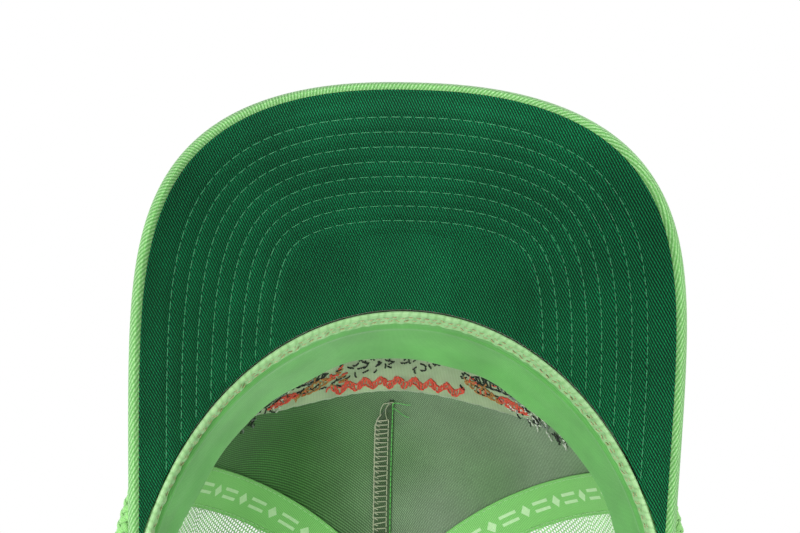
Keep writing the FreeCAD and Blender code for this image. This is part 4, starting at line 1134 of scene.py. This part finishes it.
def fill(corners, angle, pitch=0.5, longest=4.5):
    """Parallel stitches that fill a shape in the upright plane, long ones split with staggered breaks."""
    corners = np.array(corners, float)
    turn = math.radians(angle)
    spin = np.array([[math.cos(turn), math.sin(turn)], [-math.sin(turn), math.cos(turn)]])
    local = corners @ spin.T
    following = np.roll(local, -1, axis=0)
    starts, ends = [], []
    for row, level in enumerate(np.arange(local[:, 1].min() + 0.5 * pitch, local[:, 1].max(), pitch)):
        crosses = (local[:, 1] <= level) != (following[:, 1] <= level)
        share = (level - local[crosses, 1]) / (following[crosses, 1] - local[crosses, 1])
        hits = np.sort(local[crosses, 0] + share * (following[crosses, 0] - local[crosses, 0]))
        for low, high in zip(hits[::2], hits[1::2]):
            if high - low < 0.5:
                continue
            count = max(1, int(math.ceil((high - low) / longest)))
            stagger = (0.0 if count == 1 else 0.5 * (row % 2) / count)
            cuts = np.clip(np.linspace(0, 1, count + 1) + stagger, 0, 1)
            cuts[0], cuts[-1] = 0.0, 1.0
            for a, b in zip(cuts[:-1], cuts[1:]):
                if (b - a) * (high - low) > 0.4:
                    starts.append((low + a * (high - low), level))
                    ends.append((low + b * (high - low), level))
    return np.array(starts) @ spin, np.array(ends) @ spin


def outline(corners, pitch=1.7):
    """Stitches that follow the edge of a shape."""
    corners = np.array(corners + corners[:1], float)
    distances = along_line(corners)
    count = max(1, int(distances[-1] / pitch))
    points = resample(corners, distances, np.linspace(0, distances[-1], count + 1))
    return points[:-1], points[1:]


def sewn(piece, stitches, offset, facing, radius, mark):
    """Sew stitches of the upright plane into the front; facing is 1 outside and -1 inside."""
    starts, ends = stitches
    keep = np.linalg.norm(ends - starts, axis=-1) > 0.25
    if not keep.any():
        return
    spots = []
    for flat in (starts[keep], ends[keep]):
        phi, theta = place_on(flat[:, 0], flat[:, 1])
        spots.append(on_crown(phi, theta, offset))
    add_threads(piece, *spots, crown_normal(phi, theta) * facing, radius, mark, 0.8)


def leaf(x, z, length, width, angle):
    """Outline of a pointed leaf from its stem point."""
    share = np.linspace(0, 1, 13)
    swell = width * np.sin(math.pi * share ** 0.8)
    turn = math.radians(angle)
    edge = [(length * s, w) for s, w in zip(share, swell)]
    edge += [(length * s, -w) for s, w in zip(share[::-1], swell[::-1])]
    return [(x + a * math.cos(turn) - b * math.sin(turn), z + a * math.sin(turn) + b * math.cos(turn))
            for a, b in edge]


def peak(x, z, half, tall):
    return [(x - half, z), (x, z + tall), (x + half, z)]


def motif_shapes():
    """The emblem: peaks before a rising sun over water, leaf sprays at its sides and a zigzag border."""
    turn = np.radians(np.linspace(0, 180, 24))
    shapes = [([(10.5 * math.cos(t), 50.0 + 10.5 * math.sin(t)) for t in turn], 90.0, "orange")]
    for x, half, tall, colour in PEAKS:
        shapes.append((peak(x, 44.0, half, tall), 90.0, colour))
        shapes.append((peak(x, 44.0 + 0.66 * tall, 0.34 * half, 0.34 * tall), 90.0, "white"))
    for row, colour in enumerate(("white", "red", "white")):
        z = 41.5 - 3.0 * row
        top = [(x, z + 0.9 * math.sin(x * 0.55 + row)) for x in np.linspace(-27 + 2 * row, 27 - 2 * row, 70)]
        shapes.append((top + [(x, y - 1.5) for x, y in reversed(top)], 90.0, colour))
    x = np.linspace(-22.4, 22.4, 17)
    z = 75.6 - 0.004 * x * x + 1.9 * np.where(np.arange(17) % 2, 1.0, -1.0)
    zigzag = [(a, b + 1.5) for a, b in zip(x, z)] + [(a, b - 1.5) for a, b in zip(x[::-1], z[::-1])]
    shapes.append((zigzag, 90.0, "red"))
    for side in (-1, 1):
        for *place, angle, colour in LEAVES:
            points = leaf(*place, angle)
            shapes.append(([(side * a, b) for a, b in points], 90.0 + side * angle, colour))
    return shapes


def make_embroidery():
    shapes = motif_shapes()
    piece = Piece()
    base = CLOTH[1] + 0.2
    for corners, angle, colour in shapes:
        sewn(piece, fill(corners, angle, 0.42), base + 0.12, 1.0, 0.25, THREADS[colour])
        edge = "white" if colour == "black" else "black"
        sewn(piece, outline(corners), base + 0.2, 1.0, 0.2, THREADS[edge])
    piece.make("embroidery_front", [lime_twill] + embroidery_threads,
               ["embroidery_motif"])

    piece = Piece()
    add_stabiliser(piece)
    rng = np.random.default_rng(7)

    def jitter(stitches):
        return tuple(flat + rng.normal(0.0, 0.22, flat.shape) for flat in stitches)

    for corners, angle, colour in shapes:
        sparse = jitter(fill(corners, angle, 0.55 if colour == "red" else 1.25, 3.5))
        sewn(piece, sparse, REVERSE, -1.0, 0.24, THREADS[colour])
        sewn(piece, jitter(outline(corners, 2.2)), REVERSE - 0.08, -1.0, 0.3, THREADS[colour])
    add_loose_strokes(piece, rng)
    piece.make("embroidery_reverse", [stabiliser_cloth] + embroidery_threads,
               ["embroidery_backing"])


def add_stabiliser(piece):
    """Cut-away backing sheet behind the embroidery."""
    half, tall, middle, low = 54.0, 47.0, 33.0, 25.5
    share = np.linspace(-1.0, 1.0, 121)
    x = half * np.sin(share * math.pi / 2) * 0.995
    ragged = 0.15 * np.sin(x * 1.3) * (np.abs(share) < 0.98)
    top = middle + tall * np.maximum(1 - np.abs(x / half) ** 2.6, 0.0) ** 0.455 + ragged
    z = low + (top - low)[:, None] * np.linspace(0, 1, 70)
    phi, theta = place_on(np.broadcast_to(x[:, None], z.shape), z)
    crinkle = 0.1 * np.sin(x[:, None] * 1.1 + 0.3 * z) * np.sin(z * 0.9) + 0.06 * np.sin(x[:, None] * 2.3)
    add_shell(piece, on_crown(phi, theta, -0.72 + crinkle), on_crown(phi, theta, -0.22), pairs(x[:, None], z))


def add_loose_strokes(piece, rng):
    """Short loose threads over the motif's middle and, in arches, at both of its sides."""
    for strokes, low, high, drift in ((46, (-19.0, 57.5), (16.0, 68.5), 0.0),
                                      (74, (-54.0, 0.0), (-20.0, 0.0), 1.0),
                                      (74, (20.0, 0.0), (54.0, 0.0), -1.0)):
        for _ in range(strokes):
            x, z = rng.uniform(low, high)
            palette = ("black",)
            if drift:
                out = abs(x) - 18.0
                z = 68.5 - 0.0095 * out * out + rng.uniform(-5.5, 2.6)
                warm = out < 12 + rng.uniform(0, 8)
                palette = ("orange", "red", "black") if warm else ("black", "black", "white", "grey")
            turn = drift * rng.uniform(0.1, 0.9) if drift else rng.uniform(0, math.pi)
            steps = rng.uniform(0.5, 1.3, 4)[:, None]
            bends = turn + np.cumsum(rng.normal(0.0, 0.75, 4))
            path = np.array([x, z]) + np.cumsum(steps * np.stack([np.cos(bends), np.sin(bends)], -1), axis=0)
            mark = THREADS[palette[rng.integers(len(palette))]]
            sewn(piece, (path[:-1], path[1:]), REVERSE - 0.1, -1.0, 0.27, mark)


make_tapes()
make_dart()
make_embroidery()


# ---------------------------------------------------------------- mesh panels
NET_ACROSS, NET_UP = 1.5, 1.3
NET_FACES = (0.98, 1.36)


def net_cells(chart, inside):
    """Open net of six-sided holes over a chart; inside says which cell middles belong to the panel."""
    rows = int(np.interp(TOP_ANGLE, chart.theta, chart.run) / NET_UP)
    reach = int(chart.half.max() / (0.5 * NET_ACROSS)) + 3
    columns = 2 * reach + 1
    across = (np.arange(columns) - reach) * 0.5 * NET_ACROSS
    up = np.arange(rows + 1) * NET_UP
    cells = []
    for row in range(rows):
        first = np.arange(row % 2, columns - 2, 2)
        cells.append(np.stack([first, np.full(first.shape, row)], -1))
    column, row = np.concatenate(cells).T
    middle = np.stack([across[column + 1], up[row] + 0.5 * NET_UP], -1)
    kept = inside(middle[:, 0], middle[:, 1])
    column, row, middle = column[kept], row[kept], middle[kept]
    round_cell = ((0, 0), (1, 0), (2, 0), (2, 1), (1, 1), (0, 1))
    corners = np.stack([(row + upward) * columns + column + aside for aside, upward in round_cell], -1)
    used, compact = np.unique(corners, return_inverse=True)
    corners = compact.reshape(corners.shape)
    node_plan = np.stack([across[used % columns], up[used // columns]], -1)
    hole = np.array([(-0.33, -0.19), (0.0, -0.37), (0.33, -0.19), (0.33, 0.19), (0.0, 0.37), (-0.33, 0.19)])
    ring_plan = (middle[:, None] + hole * [NET_ACROSS, NET_UP]).reshape(-1, 2)
    return node_plan, ring_plan, corners


def chart_place(chart, plan):
    theta = np.interp(plan[:, 1], chart.run, chart.theta)
    half = np.interp(theta, chart.theta, chart.half) - 0.12
    across = np.clip(plan[:, 0], -half, half)
    phi = np.interp(theta, chart.theta, chart.middle) + across / np.interp(theta, chart.theta, chart.radius)
    return phi, theta


def add_net(piece, chart, inside, turn):
    """Net with two faces that meet at the rims of its holes."""
    node_plan, ring_plan, corners = net_cells(chart, inside)
    count, holes = len(node_plan), len(ring_plan)
    node = chart_place(chart, node_plan)
    ring = chart_place(chart, ring_plan)
    places = np.concatenate([on_crown(*node, NET_FACES[1]), on_crown(*node, NET_FACES[0]),
                             on_crown(*ring, 0.5 * (MESH[0] + MESH[1]))]) * turn
    rings = 2 * count + np.arange(holes).reshape(-1, 6)
    ahead, ring_ahead = np.roll(corners, -1, axis=1), np.roll(rings, -1, axis=1)
    over = np.stack([corners, ahead, ring_ahead, rings], -1).reshape(-1, 4)
    under = np.stack([corners + count, rings, ring_ahead, ahead + count], -1).reshape(-1, 4)
    edges = np.stack([corners, ahead], -1).reshape(-1, 2)
    keys = np.sort(edges, axis=1)
    _, first, times = np.unique(keys[:, 0] * count + keys[:, 1], return_index=True, return_counts=True)
    border = edges[first[times == 1]]
    sides = np.stack([border[:, 1], border[:, 0], border[:, 0] + count, border[:, 1] + count], -1)
    plan = np.concatenate([node_plan, node_plan, ring_plan])
    piece.add(places, [np.concatenate([over, under, sides])], plan)


def add_hem(piece, phi, theta, chart, turn):
    """Doubled cloth along an edge of a mesh panel."""
    inner, outer = on_crown(phi, theta, MESH[0] - 0.08), on_crown(phi, theta, MESH[1] + 0.12)
    add_shell(piece, inner * turn, outer * turn, chart.plan(phi, theta))


def make_mesh_panel(name, left, right, turn, rear):
    """Net between two seams with a hem along each; turn mirrors the wearer's left to the right."""
    chart = Chart(left, right)

    def inside(u, v):
        theta = np.interp(v, chart.run, chart.theta)
        half = np.interp(theta, chart.theta, chart.half)
        phi = np.interp(theta, chart.theta, chart.middle) + u / np.interp(theta, chart.theta, chart.radius)
        place = crown(phi, theta)
        keep = (np.abs(u) < half - 0.3) & (place[:, 2] > panel_bottom(phi) + 0.4) & (theta < TOP_ANGLE)
        if rear:
            keep &= (place[:, 0] / 46.0) ** 2 + (place[:, 2] / 64.0) ** 2 > 1.0
        return keep

    piece = Piece()
    add_net(piece, chart, inside, turn)
    for seam, side in ((left, 1.0), (right, -1.0)):
        low = float(theta_at(float(seam(0.0)), 1.2))
        if rear and seam is right:
            low = float(theta_at(math.pi, 65.0))
        theta = np.linspace(low, TOP_ANGLE, 200)
        radius = np.maximum(around_radius(seam(theta), theta), 3.4)
        phi = seam(theta)[:, None] + side * np.linspace(0.12, 2.3, 5) / radius[:, None]
        add_hem(piece, phi, np.broadcast_to(theta[:, None], phi.shape), chart, turn)
        line = phi[:, 3] + side * 0.6 / radius
        places = on_crown(line, theta, MESH[1] + 0.16)
        stitch_row(piece, places * turn, crown_normal(line, theta) * turn, 2.6, 0.19, 1)
    if not rear:
        share = np.linspace(0.0, 1.0, 120)
        phi = np.tile((left(0.0) + (right(0.0) - left(0.0)) * share)[:, None], 5)
        theta = theta_at(phi, panel_bottom(phi) + np.linspace(0.0, 2.6, 5))
        add_hem(piece, np.clip(phi, left(theta) + 0.002, right(theta) - 0.002), theta, chart, turn)
    piece.make(name + "_net", [net_cord, lime_thread], [name])


def make_mesh_panels():
    for hand, turn in HANDS:
        make_mesh_panel("side_mesh_panel_" + hand, front_seam, side_seam, turn, False)
        make_mesh_panel("back_mesh_panel_" + hand, side_seam, back_seam, turn, True)


def make_binding(name, profile, arc, place, wave, wave_from):
    """Cloth folded over an edge, in the profile (offset, distance from the edge), with two rows of stitches.

    place gives a line at a distance from the edge and an offset, and the line's normals.
    """
    profile = np.array(profile)
    run = along_line(np.concatenate([profile, profile[:1]]))[:-1]
    rings = [place(wide, offset + wave * (offset > 2 and wide > wave_from))[0] for offset, wide in profile]
    piece = Piece()
    add_sweep(piece, np.stack(rings, 1), pairs(arc[:, None], run))
    for wide in (1.9, 7.9):
        stitch_row(piece, *place(wide, 2.42), 2.7, 0.2, 1)
    piece.make(name + "_cloth", [lime_twill, lime_thread], [name])


# ---------------------------------------------------------------- bindings
# Offset out of the crown and distance from the edge, once round the folded cloth.
RIM_PROFILE = ((2.4, 9.0), (2.4, 5.0), (2.4, 1.3), (2.2, 0.5), (1.7, 0.08), (0.8, 0.02), (0.1, 0.3),
               (-0.25, 1.0), (-0.28, 3.4), (0.12, 3.4), (0.2, 1.3), (0.7, 0.6), (1.4, 0.6), (1.86, 1.4),
               (1.9, 5.0), (1.9, 9.0))
ARCH_PROFILE = ((2.4, 9.0), (2.4, 5.0), (2.4, 1.4), (2.1, 0.5), (1.5, 0.05), (0.7, 0.05), (0.1, 0.4),
                (-0.25, 1.2), (-0.28, 8.4), (0.1, 8.4), (0.2, 1.5), (0.7, 0.6), (1.4, 0.6), (1.86, 1.5),
                (1.9, 5.0), (1.9, 9.0))


def make_bindings():
    """Bindings over the bottom of the mesh on both sides and over the rear opening's edge."""
    phi = np.radians(np.linspace(81.2, 141.3, 240))
    arc = along_line(crown(phi, 0.0))
    for hand, turn in HANDS:
        def rim(height, offset):
            theta = theta_at(phi, height)
            return on_crown(phi, theta, offset) * turn, crown_normal(phi, theta) * turn

        make_binding("rim_binding_" + hand, RIM_PROFILE, arc, rim, 0.07 * np.sin(arc * 1.1), 2.0)

    around = np.linspace(0.012, math.pi - 0.012, 260)

    def arch(wide, offset):
        at, theta = place_on((42.0 + wide) * np.cos(around), (60.0 + wide) * np.sin(around), rear=True)
        return on_crown(at, theta, offset), crown_normal(at, theta)

    arc = along_line(arch(0.0, 1.0)[0])
    make_binding("rear_opening_binding", ARCH_PROFILE, arc, arch, 0.06 * np.sin(arc * 1.2), 0.0)


# ---------------------------------------------------------------- rope and buttons
ROPE_RADIUS = 3.0
ROPE_CORE = 1.7
STRAND_PLAN = 0.9
CARRIERS, LAY = 4, 14.0


def rope_corners():
    """Control points of the rope's line along the foot of the crown."""
    end = math.radians(83.0)
    corners = []
    for i in range(15):
        phi = np.array(end * (2.0 * i / 14 - 1.0))
        clearance = 1.0 - 0.5 * float(smooth_step(abs(phi), 0.8 * end, end))
        foot = on_crown(phi, np.array(0.0), CLOTH[1] + clearance + ROPE_RADIUS)
        tilt = foot[0] / math.sqrt((ARCH + COVER_TOP) ** 2 - foot[0] ** 2)
        steep = math.sqrt(1.0 + tilt * tilt + SLOPE * SLOPE)
        seat = float(visor_height(foot[0], foot[1], COVER_TOP)) + (ROPE_RADIUS + 0.5) * steep
        past = float(smooth_step(abs(phi), math.radians(62.0), end))
        corners.append((foot[0], foot[1], seat * (1.0 - past) + 12.0 * past))
    return corners


def spline_points(corners):
    """Points along a smooth curve that has the corners as its control points."""
    data = bpy.data.curves.new("route", "CURVE")
    data.dimensions = "3D"
    spline = data.splines.new("NURBS")
    spline.points.add(len(corners) - 1)
    for point, corner in zip(spline.points, corners):
        point.co = (*corner, 1.0)
    spline.order_u = 3
    spline.use_endpoint_u = True
    spline.resolution_u = 24
    holder = bpy.data.objects.new("route", data)
    mesh = bpy.data.meshes.new_from_object(holder)
    places = np.array([vertex.co for vertex in mesh.vertices])
    bpy.data.objects.remove(holder)
    bpy.data.curves.remove(data)
    bpy.data.meshes.remove(mesh)
    return places


def make_rope():
    """Round braid over a core: strands wind both ways and pass over and under in turn."""
    route = spline_points(rope_corners())
    distances = along_line(route)
    fine = np.arange(0.0, distances[-1], 0.5)
    centre = resample(route, distances, fine)
    slopes = unit(np.gradient(centre, axis=0))
    side = unit(np.cross(slopes, [0.0, 0.0, 1.0]))
    up = np.cross(side, slopes)
    section = np.linspace(0, 2 * math.pi, 13)[:-1]
    over, aside = np.sin(section)[:, None], np.cos(section)[:, None]
    piece = Piece()
    ring = side[:, None] * aside + up[:, None] * over
    add_sweep(piece, centre[:, None] + ring * ROPE_CORE, pairs(fine[:, None], section * 2.2))
    weave = 0.36 * np.cos(2 * math.pi * CARRIERS * fine / LAY)
    for way in (1, -1):
        for strand in range(CARRIERS):
            angle = 2 * math.pi * (way * fine / LAY + strand / CARRIERS)
            out = side * np.cos(angle)[:, None] + up * np.sin(angle)[:, None]
            line = centre + out * (2.08 + way * weave)[:, None]
            wide = unit(np.cross(unit(np.gradient(line, axis=0)), out))
            ring = wide[:, None] * (1.12 * aside) + out[:, None] * (0.6 * over)
            add_sweep(piece, line[:, None] + ring, pairs(fine[:, None] * 1.4, section * STRAND_PLAN))
    piece.make("rope_braid", [rope_yarn], ["rope"])


def rope_cloth():
    """Smooth parallel filaments along each strand, with painted shade darkening each strand's sides where the
    strands meet in crevices.
    """
    graph = Graph("rope_yarn", 0.5, 0.25, 0.45)
    fibre = graph.wave(graph.math("MULTIPLY_ADD", graph.noise(900.0), 0.4, graph.line(0.35, 1 / 0.36)))
    cloth = graph.ramp(fibre, [(0.1, (112, 184, 90)), (0.8, (168, 228, 142))])
    # painted shade: darker towards each strand's sides, full colour on its crown
    strand_crevice_shade = graph.wave(graph.line(0.0, 1 / (2 * math.pi * STRAND_PLAN), -0.25))
    graph.colour(graph.tint(cloth, strand_crevice_shade, [(0.45, (96, 132, 84)), (0.8, PLAIN)]))
    graph.relief(fibre, 0.07)
    return graph.material


rope_yarn = rope_cloth()


def make_button(name, seat, axis, radius, height):
    """Cloth-covered button: a dome with gathers at its edge over a flat underside."""
    axis = unit(np.array(axis, float))
    side = unit(np.cross(axis, [0.31, 0.9, 0.2]))
    other = np.cross(axis, side)
    turn = np.linspace(0, 2 * math.pi, 73)[:-1]
    cosine, sine = np.cos(turn)[:, None], np.sin(turn)[:, None]
    rings = []
    for share in np.sin(np.linspace(0.04, 1.0, 18) * math.pi / 2):
        gather = 1.0 + 0.012 * np.cos(24 * turn) * smooth_step(share, 0.75, 1.0)
        rise = height * (0.3 + 0.7 * math.sqrt(max(1 - share ** 2.2, 0.0)))
        rise = rise + 0.05 * np.cos(4 * turn) * share * (1 - share)
        rings.append((share * gather, rise, share))
    flat = 0.0 * turn
    rings += [(1.0 + flat, 0.15 * height + flat, 1.1), (0.93 + flat, flat, 1.2)]
    places = [seat + radius * wide[:, None] * (side * cosine + other * sine) + axis * rise[:, None]
              for wide, rise, _ in rings]
    plan = [radius * share * np.concatenate([cosine, sine], -1) for _, _, share in rings]
    piece = Piece()
    add_sweep(piece, np.stack(places), np.stack(plan))
    piece.make(name + "_cloth", [lime_twill], [name])


def make_buttons():
    top = crown(0.0, TOP_ANGLE)[2] + CLOTH[1] + 0.4
    make_button("top_button", np.array([0.0, 0.0, top]), (0, 0, 1), 8.0, 5.2)
    corners = np.array(rope_corners())
    for hand, end, before in (("left", corners[-1], corners[-2]), ("right", corners[0], corners[1])):
        place = end + unit(end - before) * 6.0
        phi = np.array(math.atan2(place[0] / HALF_WIDTH, -place[1] / BACK))
        theta = theta_at(phi, place[2])
        seat = on_crown(phi, theta, BINDING[1] + 0.35)
        make_button("rope_end_button_" + hand, seat, crown_normal(phi, theta), 5.5, 4.6)


# ---------------------------------------------------------------- closure, label and kept nodes
HINGE_X, WEB_REACH = 33.0, 1.6


def make_hinge_webs():
    """Thin bends of plastic that join each strap to its sewn tab."""
    x = np.linspace(WEB_REACH, -WEB_REACH, 17)
    z = np.linspace(5.15, 22.85, 25)
    neck = 0.25 + 0.22 * np.abs(x / WEB_REACH) ** 2
    for hand, sign, level in (("outer", 1.0, 89.8), ("inner", -1.0, 88.2)):
        def face(side):
            y = level + side * neck
            return np.stack(np.broadcast_arrays(sign * (HINGE_X + x[:, None]), y[:, None], z), -1)

        piece = Piece()
        add_shell(piece, face(-1.0), face(1.0), pairs(x[:, None], z))
        start, end = (to_rest(np.array([sign * (HINGE_X + shift), level, 14.0])) for shift in (1.0, -1.0))
        piece.make("%s_strap_hinge_web" % hand, [strap_plastic],
                   blend=("cap", hand + "_strap", tuple(start), tuple(end)))


def make_label():
    """Blank woven label sewn to the sweatband by its upper edge."""
    across = np.linspace(-15.0, 15.0, 61)
    down = np.linspace(0.0, 20.0, 41)
    phi = math.radians(-112.0) + across / 91.0
    lines = []
    for drop in down:
        curl = 0.9 + 1.7 * (drop / 20.0) ** 1.5 + 0.35 * np.sin(across * 0.25) * (drop / 20.0)
        lines.append(band_point(phi, 29.0 - drop, BAND_THICKNESS + curl))
    under = np.stack(lines, 1)
    out = unit(np.cross(np.gradient(under, axis=0), np.gradient(under, axis=1)))
    piece = Piece()
    add_shell(piece, under - 0.16 * out, under + 0.16 * out, pairs(across[:, None], down))
    label = piece.make("care_label_cloth", [label_cloth], ["care_label"])


def dress_nodes():
    """New materials for the parts that stay the CAD's own solids."""
    plastics = ("outer_strap", "inner_strap", "outer_strap_tab", "inner_strap_tab")
    for node in plastics + ("button_stem", "button_washer"):
        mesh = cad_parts[node].data
        mesh.materials.clear()
        mesh.materials.append(strap_plastic if node in plastics else button_metal)


make_mesh_panels()
make_bindings()
make_rope()
make_buttons()
make_hinge_webs()
make_label()
dress_nodes()
